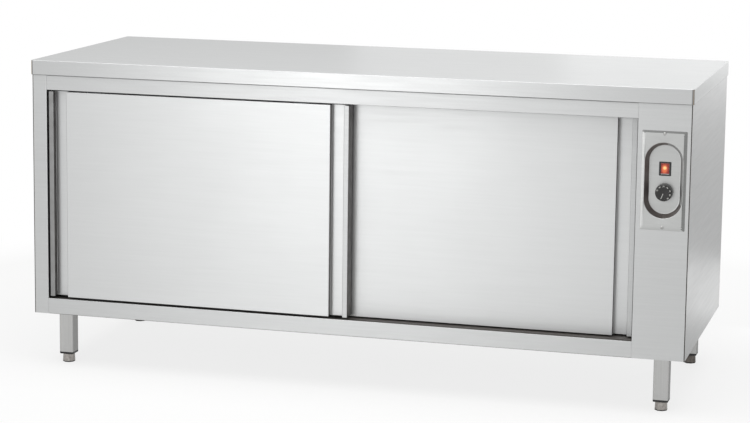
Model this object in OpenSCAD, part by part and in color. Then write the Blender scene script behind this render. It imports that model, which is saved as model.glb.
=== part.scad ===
// Heated plate cabinet with two sliding doors, in millimetres.
// X runs along the width (left to right), -Y is the front, +Z is up.
// The origin is on the floor, under the middle of the worktop.

/* [Overall] */
// Width of the worktop
worktop_w = 1800; // [1500:10:2200]
// Depth of the worktop
worktop_d = 700; // [600:10:800]
// Height of the worktop above the floor
overall_h = 850; // [800:5:950]
// Thickness of the worktop's folded edge
worktop_t = 40; // [30:1:60]
// Height of the body's underside above the floor
body_z = 150; // [130:1:200]
// Worktop overhang at each side
overhang_side = 3; // [1:0.5:10]
// Worktop overhang at the front
overhang_front = 4; // [4:0.5:15]
// Worktop overhang at the back
overhang_back = 2; // [1:0.5:10]

/* [Sheet metal] */
// Thickness of the body and door sheet
sheet = 1.2; // [0.8:0.1:2]
// Thickness of the worktop sheet
top_sheet = 1.5; // [1:0.1:2.5]
// Width of the lip under the worktop
top_lip = 25; // [22:1:40]
// Width of the body panels' folded flanges
flange = 15; // [10:1:20]
// Height of the hem folded behind a rail's edge
hem_h = 12; // [8:1:16]

/* [Front frame] */
// Width of the left stile
stile_w = 41; // [38:1:60]
// Width of the control column
column_w = 137; // [134:1:200]
// Height of the top rail
top_rail_h = 40; // [40:1:60]
// Height of the bottom rail
bottom_rail_h = 43; // [42:1:70]
// Depth of the top rail's upper flange
rail_flange = 50; // [30:1:80]

/* [Doors] */
// Thickness of a door
door_t = 36; // [30:1:45]
// Front door's face behind the frame's face
door_setback = 2; // [1:0.5:6]
// Running gap between the two doors
door_gap = 6; // [3:0.5:10]
// Gap between the rear door and the chamber
pocket_gap = 8; // [4:0.5:15]
// Gap over the doors
door_gap_top = 4; // [2:0.5:8]
// Gap under the doors
door_gap_bottom = 6; // [3:0.5:10]
// How much lower the rear door reaches than the front one
rear_door_drop = 4; // [0:0.5:6]
// Gap at the left end of the opening
end_gap_left = 5; // [2:0.5:12]
// Gap at the right end of the opening
end_gap_right = 7; // [2:0.5:15]
// Width by which the closed doors overlap
door_overlap = 96; // [80:1:150]
// Width of a door's outer lip
grip_lip = 14; // [10:0.5:20]
// Width of a grip channel
grip_w = 37; // [28:0.5:45]
// Depth of a grip channel
grip_d = 20; // [12:0.5:24]
// How much wider a grip channel is at its floor than at its mouth, on each side
grip_undercut = 2; // [0:0.5:4]
// Depth of the back sheet's rim
door_rim = 8; // [4:0.5:10]

/* [Door running gear] */
// Radius of a wheel's flanges
wheel_r = 12; // [11:0.5:12.5]
// Depth of the groove in a wheel
wheel_groove = 2; // [1.5:0.1:3]
// Width of a wheel
wheel_w = 8; // [6:0.5:9]
// Thickness of each wheel flange
wheel_flange = 1.8; // [1:0.1:2.2]
// Radius of a wheel's axle
axle_r = 3; // [2:0.25:4]
// Radial clearance of a turning shaft in its bore
run_clear = 0.05; // [0.02:0.01:0.1]
// Height of the axles over the door's top
axle_rise = 24; // [21:0.5:26]
// Width of a hanger plate
hanger_w = 40; // [30:1:60]
// Thickness of a hanger plate
hanger_t = 2; // [1.5:0.25:3]
// Depth of a hanger's foot
hanger_foot = 26; // [18:1:28]
// Distance from a door's end to its hanger
hanger_inset = 130; // [80:5:200]
// Thickness of the track's web and lips
track_t = 2; // [1.5:0.25:2.5]
// Width of the bead that the wheels run on
bead_w = 3; // [2:0.25:3.5]
// Width of a groove in the bottom guide
guide_groove = 6; // [5:0.5:10]
// Depth of a groove in the bottom guide
guide_groove_d = 10; // [8:0.5:11]
// Height of the bottom guide
guide_h = 13; // [12.5:0.5:15]
// Thickness of the guide shoes
shoe_t = 5; // [3:0.5:5.5]
// Length of a guide shoe
shoe_w = 44; // [25:1:60]
// Length of a rubber door stop
stop_l = 20; // [10:1:30]
// Width of a rubber door stop
stop_w = 12; // [8:1:14]
// Seat gap left between pieces that only just touch
seat_gap = 0.3; // [0.2:0.05:0.5]

/* [Chamber] */
// Thickness of the insulation
insulation_t = 36; // [20:1:50]
// Thickness of the insulation behind the heater wall
heater_insulation_t = 20; // [10:1:30]
// Chamber floor below the bottom rail's edge
floor_drop = 3; // [1:0.5:6]
// Depth of the air duct in front of the heater wall
duct_d = 44; // [42:1:60]
// Gap round the air cover in the chamber
duct_margin = 5; // [2:1:15]
// Height of the air cover's lower edge over the chamber floor
duct_lift = 5; // [2:1:20]
// Radius of the fan intake's hole pattern
intake_r = 66; // [50:1:80]
// Radius of an intake hole
intake_hole_r = 4; // [3:0.5:5]
// Spacing of the intake holes
intake_pitch = 16; // [14:1:20]
// Number of outlet slots in each row
outlet_count = 14; // [8:1:16]
// Width of an outlet slot
outlet_w = 8; // [5:1:12]
// Height of an outlet slot
outlet_h = 40; // [20:1:60]
// Distance from the air cover's edge to its outlet rows
outlet_inset = 30; // [20:1:60]

/* [Shelf] */
// Height of the shelf's folded edge
shelf_h = 30; // [20:1:40]
// Gap between the shelf and the doors' side of the chamber
shelf_front_gap = 8; // [4:1:40]
// Gap between the shelf and the chamber's back
shelf_back_gap = 8; // [2:1:40]
// Gap between the shelf's end and the uprights
shelf_end_gap = 0.5; // [0.3:0.1:2]
// Slot that the shelf hangs in, counted from the bottom
shelf_slot = 5; // [2:1:8]
// Spacing of the slots
slot_pitch = 50; // [40:5:60]
// Height of the lowest slot over the chamber floor
slot_first = 16; // [14:1:40]
// Width of a slotted upright
upright_w = 24; // [16:1:40]
// Thickness of a slotted upright
upright_t = 4; // [3:0.5:6]
// Distance of the uprights from the shelf's front and back edge
upright_inset = 40; // [30:5:120]
// Height of a slot
slot_h = 12; // [10:1:16]
// Width of a slot
slot_w = 6; // [5:0.5:10]
// Reach of a shelf bracket
bracket_reach = 20; // [12:1:30]
// Thickness of a shelf bracket
bracket_h = 12; // [10:1:16]

/* [Control panel] */
// Width of the control plate
plate_w = 115; // [110:1:125]
// Height of the control plate
plate_h = 255; // [235:1:300]
// Thickness of the control plate
plate_t = 1.5; // [1:0.1:1.8]
// Distance from the worktop's underside to the plate
plate_drop = 68; // [40:1:120]
// Width of the pressed recess
recess_w = 97; // [90:1:100]
// Height of the pressed recess
recess_h = 194; // [175:1:205]
// Depth of the pressed recess
recess_d = 25; // [21:1:30]
// Slope of the recess wall, across its depth
recess_draft = 8; // [2:0.5:10]
// Clearance of the recess in the column's cut-out
recess_clear = 1; // [0.5:0.25:1.5]
// Width of the switch frame
switch_w = 31; // [27:0.5:34]
// Height of the switch frame
switch_h = 36; // [34:0.5:38]
// Thickness of the switch frame
switch_t = 2; // [1:0.25:3]
// Height of the switch over the recess's middle
switch_up = 27; // [22:0.5:34]
// Width of the switch rocker
rocker_w = 21; // [16:0.5:21.5]
// Height of the switch rocker
rocker_h = 26; // [22:0.5:26.5]
// Tilt of the rocker from its middle position
rocker_tilt = 7; // [4:0.5:8]
// Diameter of the control knob
knob_d = 45; // [35:0.5:48]
// Thickness of the control knob
knob_t = 18; // [12:0.5:18]
// Height of the knob below the recess's middle
knob_down = 32.5; // [32:0.5:38]
// Gap between the knob and the recess's floor
knob_gap = 1.5; // [0.5:0.25:3]
// Radius of the thermostat's shaft
shaft_r = 3; // [2.5:0.25:4]
// Radius of a plate screw's head
screw_head_r = 4; // [3:0.25:5]
// Radius of a plate screw's shank
screw_r = 2; // [1.5:0.25:2.5]
// Distance from the plate's end to its screw
screw_inset = 7.5; // [6:0.25:12]

/* [Heating] */
// Radius of the fan wheel
fan_r = 75; // [60:1:80]
// Number of fan blades
fan_blades = 12; // [8:1:16]
// Radius of the fan shaft
fan_shaft_r = 4; // [3:0.25:6]
// Radius of the motor
motor_r = 42; // [35:1:55]
// Length of the motor
motor_l = 56; // [40:1:90]
// Radius of the heating ring
ring_r = 92; // [88:1:110]
// Radius of the heating tube
tube_r = 4.2; // [3:0.1:4.5]
// Height of the fan over the chamber floor
fan_up = 290; // [200:5:360]

/* [Legs] */
// Side of a leg's square tube
leg_w = 40; // [30:1:60]
// Wall of a leg's tube
leg_wall = 1.5; // [1:0.1:3]
// Height of the tube's lower end above the floor
leg_z = 30; // [26:0.5:45]
// Distance from the worktop's end to a leg
leg_inset_side = 50; // [45:1:150]
// Distance from the worktop's front to a leg
leg_inset_front = 61; // [40:1:120]
// Distance from the worktop's back to a leg
leg_inset_back = 61; // [40:1:120]
// Side of the plate that a leg is welded to
leg_plate_w = 90; // [70:1:90]
// Thickness of that plate
leg_plate_t = 3; // [2:0.5:5]
// Thickness of a plug's rim
plug_t = 6; // [3:0.5:8]
// Length of a plug inside the tube
plug_l = 20; // [15:1:30]
// Radius of a foot across its corners
foot_r = 17.3; // [14:0.1:20]
// Taper of a foot, from its base to its top
foot_taper = 1.3; // [0:0.1:3]
// Radius of a foot's stem
stem_r = 5; // [4:0.5:8]
// Travel of a foot as it is screwed out
foot_travel = 25; // [10:1:40]

/* [Supply] */
// Radius of the cable hole in the gland
cable_r = 5; // [3:0.25:7]
// Radius of the gland's thread
gland_r = 10; // [9:0.5:12]
// Distance from the right side panel to the gland
gland_inset_side = 60; // [45:1:90]
// Distance from the gland to the plate of the leg behind it
gland_leg_gap = 25; // [16:1:60]

/* [Hidden] */
$fn = 64;

// How far a cutting solid runs past what it cuts
cut = 2;

// Body
front_y = -worktop_d / 2 + overhang_front;
back_y = worktop_d / 2 - overhang_back;
side_x = worktop_w / 2 - overhang_side;
top_z = overall_h - worktop_t;
tray_top_z = body_z + sheet;

// Door opening
open_x0 = -side_x + stile_w;
open_x1 = side_x - column_w;
open_z0 = body_z + bottom_rail_h;
open_z1 = top_z - top_rail_h;

// Doors
door_z0 = open_z0 + door_gap_bottom;
door_z1 = open_z1 - door_gap_top;
rear_door_z0 = door_z0 - rear_door_drop;
door_w = (open_x1 - open_x0 - end_gap_left - end_gap_right + door_overlap) / 2;
left_door_x = open_x0 + end_gap_left;
right_door_x = open_x1 - end_gap_right - door_w;
front_door_y = front_y + door_setback;
rear_door_y = front_door_y + door_t + door_gap;
pocket_y = rear_door_y + door_t + pocket_gap;
front_door_mid_y = front_door_y + door_t / 2;
rear_door_mid_y = rear_door_y + door_t / 2;
core_clear = 2;

// Running gear
axle_z = door_z1 + axle_rise;
tread_r = wheel_r - wheel_groove;
hanger_side_gap = 1;
wheel_y0 = hanger_t / 2 + hanger_side_gap;
axle_head_r = axle_r + 1.5;
axle_head_t = 1.2;
lip_z1 = axle_z - wheel_r - 2 * seat_gap;
bead_z1 = axle_z - tread_r - seat_gap;
track_plate_z0 = top_z - sheet - track_t;
web_y0 = wheel_y0 + wheel_w + axle_head_t + 4 * seat_gap;
guide_z1 = open_z0 - floor_drop + 1;
guide_z0 = guide_z1 - guide_h;
guide_edge = 14;
sill_z = guide_z0 - sheet;
stop_z0 = axle_z - 2;
shoe_z0 = guide_z1 - guide_groove_d + 2;

// Chamber
chamber_z0 = open_z0 - floor_drop;
chamber_y1 = back_y - 3 * sheet - insulation_t;
fan_y = (pocket_y + chamber_y1) / 2;
fan_z = chamber_z0 + fan_up;
duct_x = open_x1 - duct_d;
duct_y0 = pocket_y + duct_margin;
duct_y1 = chamber_y1 - duct_margin;
duct_z0 = chamber_z0 + duct_lift;
duct_z1 = open_z1 - duct_margin;

// Shelf
shelf_y0 = pocket_y + shelf_front_gap;
shelf_y1 = chamber_y1 - shelf_back_gap;
upright_left_x = open_x0 + upright_t;
upright_right_x = duct_x - upright_t;
upright_ys = [shelf_y0 + upright_inset, shelf_y1 - upright_inset];
upright_end_gap = 6;
slot_z = chamber_z0 + slot_first + shelf_slot * slot_pitch;
hook_clear = 0.5;
bracket_top_z = slot_z + slot_h / 2;
slot_count = floor((open_z1 - chamber_z0 - 2 * slot_first) / slot_pitch) + 1;

// Control panel
plate_x = side_x - column_w / 2;
plate_z1 = top_z - plate_drop;
plate_z0 = plate_z1 - plate_h;
plate_mid_z = (plate_z0 + plate_z1) / 2;
plate_y = front_y - plate_t;
recess_r = recess_w / 2;
recess_half = (recess_h - recess_w) / 2;
recess_y = plate_y + recess_d;
recess_back_y = recess_y + plate_t;
switch_z = plate_mid_z + switch_up;
switch_body_inset = 2;
switch_wall = 2;
switch_body_d = 26;
rocker_y = recess_y + 4.5;
rocker_front = 9;
rocker_dish = 1.5;
rocker_back = 4;
rocker_slot_w = rocker_w + 1;
rocker_slot_h = rocker_h + 3;
knob_z = plate_mid_z - knob_down;
knob_front_y = recess_y - knob_gap - knob_t;
knob_draft = 1.5;
thermostat_w = 44;
thermostat_h = 40;
thermostat_d = 38;
screw_zs = [plate_z0 + screw_inset, plate_z1 - screw_inset];
screw_head_t = 2.2;
screw_l = 12;
screw_clear = 0.1;

// Heating
motor_flange_r = motor_r + 13;
motor_flange_t = 3;
motor_x = open_x1 + sheet;
shaft_hole_r = 15;
fan_x0 = duct_x + sheet + 6;
fan_x1 = open_x1 - 6;
fan_hub_r = 12;
fan_plate_t = 2;
blade_r0 = 36;
blade_t = 2;
ring_x = (duct_x + open_x1) / 2;
ring_gap_deg = 24;
terminal_x = open_x1 + sheet + heater_insulation_t + 14;
terminal_r = tube_r + 0.3;
leg_hole_r = terminal_r + 0.6;
limiter_r = 15;
limiter_l = 22;
limiter_gap = 45;
limiter_z = fan_z + motor_flange_r + limiter_gap + limiter_r;
bulb_r = 3;
bulb_l = 80;
bulb_setback = 150;
bulb_y = fan_y - bulb_setback;
capillary_r = 1.25;

// Legs
leg_x = worktop_w / 2 - leg_inset_side - leg_w / 2;
leg_front_y = -worktop_d / 2 + leg_inset_front + leg_w / 2;
leg_back_y = worktop_d / 2 - leg_inset_back - leg_w / 2;
leg_hole_clear = 0.5;
plug_z = leg_z - plug_t;
plug_clear = 0.1;
stem_top_z = leg_z + plug_l + foot_travel + 3;

// Supply
gland_x = side_x - gland_inset_side;
gland_y = leg_back_y - leg_plate_w / 2 - gland_leg_gap;

// A block given by its lowest and highest corner
module block(lo, hi) {
  translate(lo) cube(hi - lo);
}

// A cylinder along +X, +Y or +Z that starts at a point
module rod_x(at, r, l) {
  translate(at) rotate([0, 90, 0]) cylinder(r = r, h = l);
}
module rod_y(at, r, l) {
  translate(at) rotate([-90, 0, 0]) cylinder(r = r, h = l);
}
module rod_z(at, r, l) {
  translate(at) cylinder(r = r, h = l);
}

// ---- Worktop ----

module worktop_skin() {
  x = worktop_w / 2;
  y = worktop_d / 2;
  color("gainsboro")
    difference() {
      block([-x, -y, top_z], [x, y, overall_h]);
      block([-x + top_sheet, -y + top_sheet, top_z + top_sheet],
            [x - top_sheet, y - top_sheet, overall_h - top_sheet]);
      block([-x + top_lip, -y + top_lip, top_z - cut],
            [x - top_lip, y - top_lip, top_z + top_sheet + cut]);
    }
}

module worktop_board() {
  x = worktop_w / 2 - top_sheet;
  y = worktop_d / 2 - top_sheet;
  color("burlywood")
    block([-x, -y, top_z + top_sheet], [x, y, overall_h - top_sheet]);
}

// ---- Outer body ----

// Right side panel: a sheet with a flange at its top and its back
module side_panel() {
  x = side_x - sheet;
  block([x, front_y + sheet, body_z], [side_x, back_y, top_z]);
  block([x - flange, back_y - sheet, body_z], [x + sheet, back_y, top_z]);
  block([x - flange, front_y + sheet, top_z - sheet], [x + sheet, back_y, top_z]);
}

module left_side_panel() {
  color("silver") mirror([1, 0, 0]) side_panel();
}

module right_side_panel() {
  color("silver") side_panel();
}

module left_stile() {
  color("gainsboro") {
    block([-side_x, front_y, body_z], [open_x0, front_y + sheet, top_z]);
    block([open_x0 - sheet, front_y, sill_z], [open_x0, pocket_y, top_z]);
  }
}

module control_column() {
  color("gainsboro")
    difference() {
      union() {
        block([open_x1, front_y, body_z], [side_x, front_y + sheet, top_z]);
        block([open_x1, front_y, sill_z], [open_x1 + sheet, pocket_y, top_z]);
      }
      translate([plate_x, front_y - cut, plate_mid_z])
        racetrack(recess_r + plate_t + recess_clear, 0, recess_half, sheet + 2 * cut);
      for (z = screw_zs)
        rod_y([plate_x, front_y - cut, z], screw_r + screw_clear, sheet + 2 * cut);
    }
}

module top_rail() {
  color("gainsboro") {
    block([open_x0, front_y, open_z1], [open_x1, front_y + sheet, top_z]);
    block([open_x0, front_y, open_z1], [open_x1, front_y + 2 * sheet, open_z1 + hem_h]);
    block([open_x0, front_y, top_z - sheet], [open_x1, front_y + rail_flange, top_z]);
  }
}

module bottom_rail() {
  color("gainsboro") {
    block([open_x0, front_y, body_z], [open_x1, front_y + sheet, open_z0]);
    block([open_x0, front_y, open_z0 - hem_h], [open_x1, front_y + 2 * sheet, open_z0]);
  }
}

module back_panel() {
  x = side_x - sheet;
  y = back_y - 2 * sheet;
  vent_count = 7;
  vent_pitch = 16;
  vent_w = 70;
  vent_h = 5;
  color("silver")
    difference() {
      block([-x, y, tray_top_z], [x, y + sheet, top_z - sheet]);
      for (i = [0 : vent_count - 1])
        block([plate_x - vent_w / 2, y - cut, plate_z1 - vent_h - i * vent_pitch],
              [plate_x + vent_w / 2, y + sheet + cut, plate_z1 - i * vent_pitch]);
    }
}

module base_tray() {
  x = side_x - sheet;
  y0 = front_y + sheet;
  y1 = back_y - sheet;
  hole = leg_w / 2 + leg_hole_clear;
  color("silver")
    difference() {
      union() {
        block([-x, y0, body_z], [x, y1, tray_top_z]);
        block([open_x0, y0, body_z], [open_x1, y0 + sheet, tray_top_z + flange]);
      }
      for (sx = [-1, 1], y = [leg_front_y, leg_back_y])
        block([sx * leg_x - hole, y - hole, body_z - cut],
              [sx * leg_x + hole, y + hole, tray_top_z + cut]);
      rod_z([gland_x, gland_y, body_z - cut], gland_r + seat_gap, sheet + 2 * cut);
    }
}

// ---- Chamber ----

module chamber_floor() {
  color("lightgray") {
    block([open_x0 - sheet, pocket_y, chamber_z0 - sheet], [open_x1, chamber_y1, chamber_z0]);
    block([open_x0, pocket_y, sill_z], [open_x1, pocket_y + sheet, chamber_z0]);
    block([open_x0, front_y + 2 * sheet, sill_z], [open_x1, pocket_y + sheet, guide_z0]);
  }
}

module chamber_back() {
  color("lightgray")
    block([open_x0 - sheet, chamber_y1, chamber_z0 - sheet],
          [open_x1, chamber_y1 + sheet, open_z1]);
}

module chamber_left_wall() {
  color("lightgray")
    block([open_x0 - sheet, pocket_y, chamber_z0], [open_x0, chamber_y1, open_z1]);
}

module heater_wall() {
  color("lightgray")
    difference() {
      block([open_x1, pocket_y, tray_top_z],
            [open_x1 + sheet, chamber_y1 + sheet, top_z - sheet]);
      rod_x([open_x1 - cut, fan_y, fan_z], shaft_hole_r, sheet + 2 * cut);
      for (s = [-1, 1])
        rod_x([open_x1 - cut, fan_y + ring_r * sin(s * ring_gap_deg / 2),
               fan_z - ring_r * cos(ring_gap_deg / 2)], leg_hole_r, sheet + 2 * cut);
      rod_x([open_x1 - cut, bulb_y, knob_z], capillary_r + seat_gap, sheet + 2 * cut);
    }
}

module chamber_ceiling() {
  color("lightgray") {
    block([open_x0 - sheet, pocket_y, open_z1], [open_x1, chamber_y1 + sheet, open_z1 + sheet]);
    block([open_x0, pocket_y, open_z1], [open_x1, pocket_y + sheet, top_z - sheet]);
  }
}

module insulation() {
  x0 = open_x0 - sheet;
  x1 = open_x1 + sheet;
  side_t = min(insulation_t, stile_w - 2 * sheet);
  y0 = pocket_y + sheet;
  y1 = chamber_y1 + sheet;
  color("khaki") {
    // left side
    block([x0 - side_t, y0, chamber_z0], [x0, y1, open_z1]);
    // back
    block([open_x0, y1, chamber_z0], [open_x1, y1 + insulation_t, open_z1]);
    // ceiling
    block([x0, y0, open_z1 + sheet], [open_x1, y1 + insulation_t, top_z - sheet]);
    // floor
    block([x0, y0, tray_top_z + leg_plate_t], [open_x1, chamber_y1, chamber_z0 - sheet]);
    // behind the heater wall
    difference() {
      block([x1, y0, chamber_z0], [x1 + heater_insulation_t, y1, open_z1]);
      rod_x([x1 - cut, fan_y, fan_z], motor_flange_r + 1, heater_insulation_t + 2 * cut);
      for (s = [-1, 1])
        rod_x([x1 - cut, fan_y + ring_r * sin(s * ring_gap_deg / 2),
               fan_z - ring_r * cos(ring_gap_deg / 2)],
              leg_hole_r, heater_insulation_t + 2 * cut);
      rod_x([x1 - cut, bulb_y, knob_z], capillary_r + seat_gap, heater_insulation_t + 2 * cut);
    }
  }
}

// ---- Shelf ----

module shelf() {
  x0 = upright_left_x + shelf_end_gap;
  x1 = upright_right_x - shelf_end_gap;
  z0 = bracket_top_z;
  z1 = z0 + shelf_h;
  color("gainsboro")
    difference() {
      block([x0, shelf_y0, z0], [x1, shelf_y1, z1]);
      block([x0 + sheet, shelf_y0 + sheet, z0 - cut], [x1 - sheet, shelf_y1 - sheet, z1 - sheet]);
    }
}

// One slotted upright that stands against a wall at x, on its +X side
module upright(x, y) {
  difference() {
    block([x, y - upright_w / 2, chamber_z0 + upright_end_gap],
          [x + upright_t, y + upright_w / 2, open_z1 - upright_end_gap]);
    for (i = [0 : slot_count - 1])
      translate([x - cut, y - slot_w / 2, chamber_z0 + slot_first + i * slot_pitch - slot_h / 2])
        cube([upright_t + 2 * cut, slot_w, slot_h]);
  }
}

module shelf_uprights() {
  color("silver")
    for (y = upright_ys) {
      upright(open_x0, y);
      upright(upright_right_x, y);
    }
}

// A bracket that hooks into a slot at the left wall, and reaches to +X
module bracket(y) {
  hook_h = slot_h - 4 * hook_clear;
  hook_w = slot_w - 2 * hook_clear;
  hook_d = upright_t - hook_clear;
  block([upright_left_x, y - upright_w / 2, bracket_top_z - bracket_h],
        [upright_left_x + bracket_reach, y + upright_w / 2, bracket_top_z]);
  block([upright_left_x - hook_d, y - hook_w / 2, slot_z - hook_h / 2],
        [upright_left_x + 1, y + hook_w / 2, slot_z + hook_h / 2]);
}

module shelf_brackets() {
  color("silver")
    for (y = upright_ys) {
      bracket(y);
      translate([upright_left_x + upright_right_x, 0, 0]) mirror([1, 0, 0]) bracket(y);
    }
}

// ---- Door track, guide and stops ----

// One rail of the track: a web, a lip and the bead that the wheels run on
module track_rail(mid_y) {
  bead_y = mid_y + wheel_y0 + wheel_w / 2;
  x0 = open_x0;
  x1 = open_x1;
  block([x0, mid_y + web_y0, lip_z1 - track_t], [x1, mid_y + web_y0 + track_t, top_z - sheet]);
  block([x0, mid_y + wheel_y0, lip_z1 - track_t], [x1, mid_y + web_y0 + track_t, lip_z1]);
  block([x0, bead_y - bead_w / 2, lip_z1 - track_t], [x1, bead_y + bead_w / 2, bead_z1]);
}

module door_track() {
  color("lightsteelblue") {
    block([open_x0, front_y + 2 * sheet, track_plate_z0], [open_x1, pocket_y, top_z - sheet]);
    track_rail(front_door_mid_y);
    track_rail(rear_door_mid_y);
  }
}

module bottom_guide() {
  color("dimgray")
    difference() {
      block([open_x0, front_door_mid_y - guide_edge, guide_z0],
            [open_x1, rear_door_mid_y + guide_edge, guide_z1]);
      for (y = [front_door_mid_y, rear_door_mid_y])
        block([open_x0 - cut, y - guide_groove / 2, guide_z1 - guide_groove_d],
              [open_x1 + cut, y + guide_groove / 2, guide_z1 + cut]);
    }
}

// Rubber stops under the track, which the hangers meet at the ends of their travel
module door_stops() {
  reach = hanger_inset - hanger_w / 2 - seat_gap;
  color("dimgray")
    for (y = [front_door_mid_y, rear_door_mid_y]) {
      block([open_x0 + end_gap_left + reach - stop_l, y - stop_w / 2, stop_z0],
            [open_x0 + end_gap_left + reach, y + stop_w / 2, track_plate_z0]);
      block([open_x1 - end_gap_right - reach, y - stop_w / 2, stop_z0],
            [open_x1 - end_gap_right - reach + stop_l, y + stop_w / 2, track_plate_z0]);
    }
}

// ---- Doors ----

// Outline of a door's front sheet, seen from above, with its face at y = 0.
// s is the inset: 0 for the outer face and the sheet's thickness for the inner one.
function half_outline(s, back) = [
  [s, back],
  [s, s],
  [grip_lip - s, s],
  [grip_lip - grip_undercut - s, grip_d + s],
  [grip_lip + grip_w + grip_undercut + s, grip_d + s],
  [grip_lip + grip_w + s, s]
];
function mirrored(points) = [
  for (i = [len(points) - 1 : -1 : 0]) [door_w - points[i][0], points[i][1]]
];
function door_outline(s, back) =
  concat(half_outline(s, back), mirrored(half_outline(s, back)));

// Front sheet: face, two grip channels, and closed ends, open at the back.
// A door's three solids start at its lower edge, z0, and all reach door_z1.
module door_front(x, y, z0) {
  h = door_z1 - z0;
  translate([x, y, z0])
    difference() {
      linear_extrude(h) polygon(door_outline(0, door_t));
      translate([0, 0, sheet])
        linear_extrude(h - 2 * sheet) polygon(door_outline(sheet, door_t + cut));
    }
}

// Back sheet: a plate with a rim, set into the front sheet
module door_back(x, y, z0) {
  z1 = door_z1 - z0 - sheet;
  translate([x, y, z0])
    difference() {
      block([sheet, door_t - sheet - door_rim, sheet], [door_w - sheet, door_t, z1]);
      block([2 * sheet, door_t - sheet - door_rim - cut, 2 * sheet],
            [door_w - 2 * sheet, door_t - sheet, z1 - sheet]);
    }
}

module door_core(x, y, z0) {
  x0 = grip_lip + grip_w + grip_undercut + sheet + core_clear;
  margin = 2 * sheet;
  translate([x, y, z0])
    block([x0, sheet, margin], [door_w - x0, door_t - sheet, door_z1 - z0 - margin]);
}

// Hanger: a foot on the door's top, a plate, and the wheel's axle
module hanger(x, mid_y) {
  plate_z = axle_z + 10;
  pin_l = wheel_y0 + wheel_w + seat_gap;
  block([x - hanger_w / 2, mid_y - hanger_foot / 2, door_z1],
        [x + hanger_w / 2, mid_y + hanger_foot / 2, door_z1 + hanger_t]);
  block([x - hanger_w / 2, mid_y - hanger_t / 2, door_z1],
        [x + hanger_w / 2, mid_y + hanger_t / 2, plate_z]);
  rod_y([x, mid_y, axle_z], axle_r, pin_l + axle_head_t);
  rod_y([x, mid_y, axle_z], axle_head_r, wheel_y0 - seat_gap);
  rod_y([x, mid_y + pin_l, axle_z], axle_head_r, axle_head_t);
}

module hangers(x, mid_y) {
  hanger(x + hanger_inset, mid_y);
  hanger(x + door_w - hanger_inset, mid_y);
}

// Wheel with a groove, turning about a pin along Y
module wheel(x, mid_y) {
  translate([x, mid_y + wheel_y0, axle_z])
    rotate([-90, 0, 0])
      rotate_extrude()
        polygon([
          [axle_r + run_clear, 0],
          [wheel_r, 0],
          [wheel_r, wheel_flange],
          [tread_r, wheel_flange],
          [tread_r, wheel_w - wheel_flange],
          [wheel_r, wheel_w - wheel_flange],
          [wheel_r, wheel_w],
          [axle_r + run_clear, wheel_w]
        ]);
}

module shoes(x, mid_y, z0) {
  for (sx = [x + hanger_inset, x + door_w - hanger_inset])
    block([sx - shoe_w / 2, mid_y - shoe_t / 2, shoe_z0],
          [sx + shoe_w / 2, mid_y + shoe_t / 2, z0]);
}

module left_door_front() {
  color("whitesmoke") door_front(left_door_x, front_door_y, door_z0);
}

module left_door_back() {
  color("lightgray") door_back(left_door_x, front_door_y, door_z0);
}

module left_door_core() {
  color("khaki") door_core(left_door_x, front_door_y, door_z0);
}

module left_door_hangers() {
  color("silver") hangers(left_door_x, front_door_mid_y);
}

module left_door_wheel_1() {
  color("white") wheel(left_door_x + hanger_inset, front_door_mid_y);
}

module left_door_wheel_2() {
  color("white") wheel(left_door_x + door_w - hanger_inset, front_door_mid_y);
}

module left_door_shoes() {
  color("white") shoes(left_door_x, front_door_mid_y, door_z0);
}

module right_door_front() {
  color("whitesmoke") door_front(right_door_x, rear_door_y, rear_door_z0);
}

module right_door_back() {
  color("lightgray") door_back(right_door_x, rear_door_y, rear_door_z0);
}

module right_door_core() {
  color("khaki") door_core(right_door_x, rear_door_y, rear_door_z0);
}

module right_door_hangers() {
  color("silver") hangers(right_door_x, rear_door_mid_y);
}

module right_door_wheel_1() {
  color("white") wheel(right_door_x + hanger_inset, rear_door_mid_y);
}

module right_door_wheel_2() {
  color("white") wheel(right_door_x + door_w - hanger_inset, rear_door_mid_y);
}

module right_door_shoes() {
  color("white") shoes(right_door_x, rear_door_mid_y, rear_door_z0);
}

// ---- Control panel ----

// A racetrack-shaped solid that runs along +Y and narrows by draft over its depth
module racetrack(r, draft, half, depth) {
  for (z = [-half, half])
    translate([0, 0, z]) rotate([-90, 0, 0]) cylinder(r1 = r, r2 = r - draft, h = depth);
  linear_extrude(2 * half, center = true)
    polygon([[-r, 0], [r, 0], [r - draft, depth], [-r + draft, depth]]);
}

module control_plate() {
  slope = recess_draft / recess_d;
  frame_w = switch_w / 2 - switch_body_inset + seat_gap;
  frame_h = switch_h / 2 - switch_body_inset + seat_gap;
  color("silver")
    difference() {
      union() {
        block([plate_x - plate_w / 2, plate_y, plate_z0],
              [plate_x + plate_w / 2, front_y, plate_z1]);
        translate([plate_x, plate_y, plate_mid_z])
          racetrack(recess_r + plate_t, recess_draft + slope * plate_t, recess_half,
                    recess_d + plate_t);
      }
      translate([plate_x, plate_y - cut, plate_mid_z])
        racetrack(recess_r + slope * cut, recess_draft + slope * cut, recess_half,
                  recess_d + cut);
      block([plate_x - frame_w, recess_y - cut, switch_z - frame_h],
            [plate_x + frame_w, recess_back_y + cut, switch_z + frame_h]);
      rod_y([plate_x, recess_y - cut, knob_z], shaft_r + 1, plate_t + 2 * cut);
      for (z = screw_zs)
        rod_y([plate_x, plate_y - cut, z], screw_r + screw_clear, plate_t + 2 * cut);
    }
}

module plate_screws() {
  color("white")
    for (z = screw_zs) {
      rod_y([plate_x, plate_y - screw_head_t, z], screw_head_r, screw_head_t);
      rod_y([plate_x, plate_y - screw_head_t, z], screw_r, screw_l);
    }
}

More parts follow.
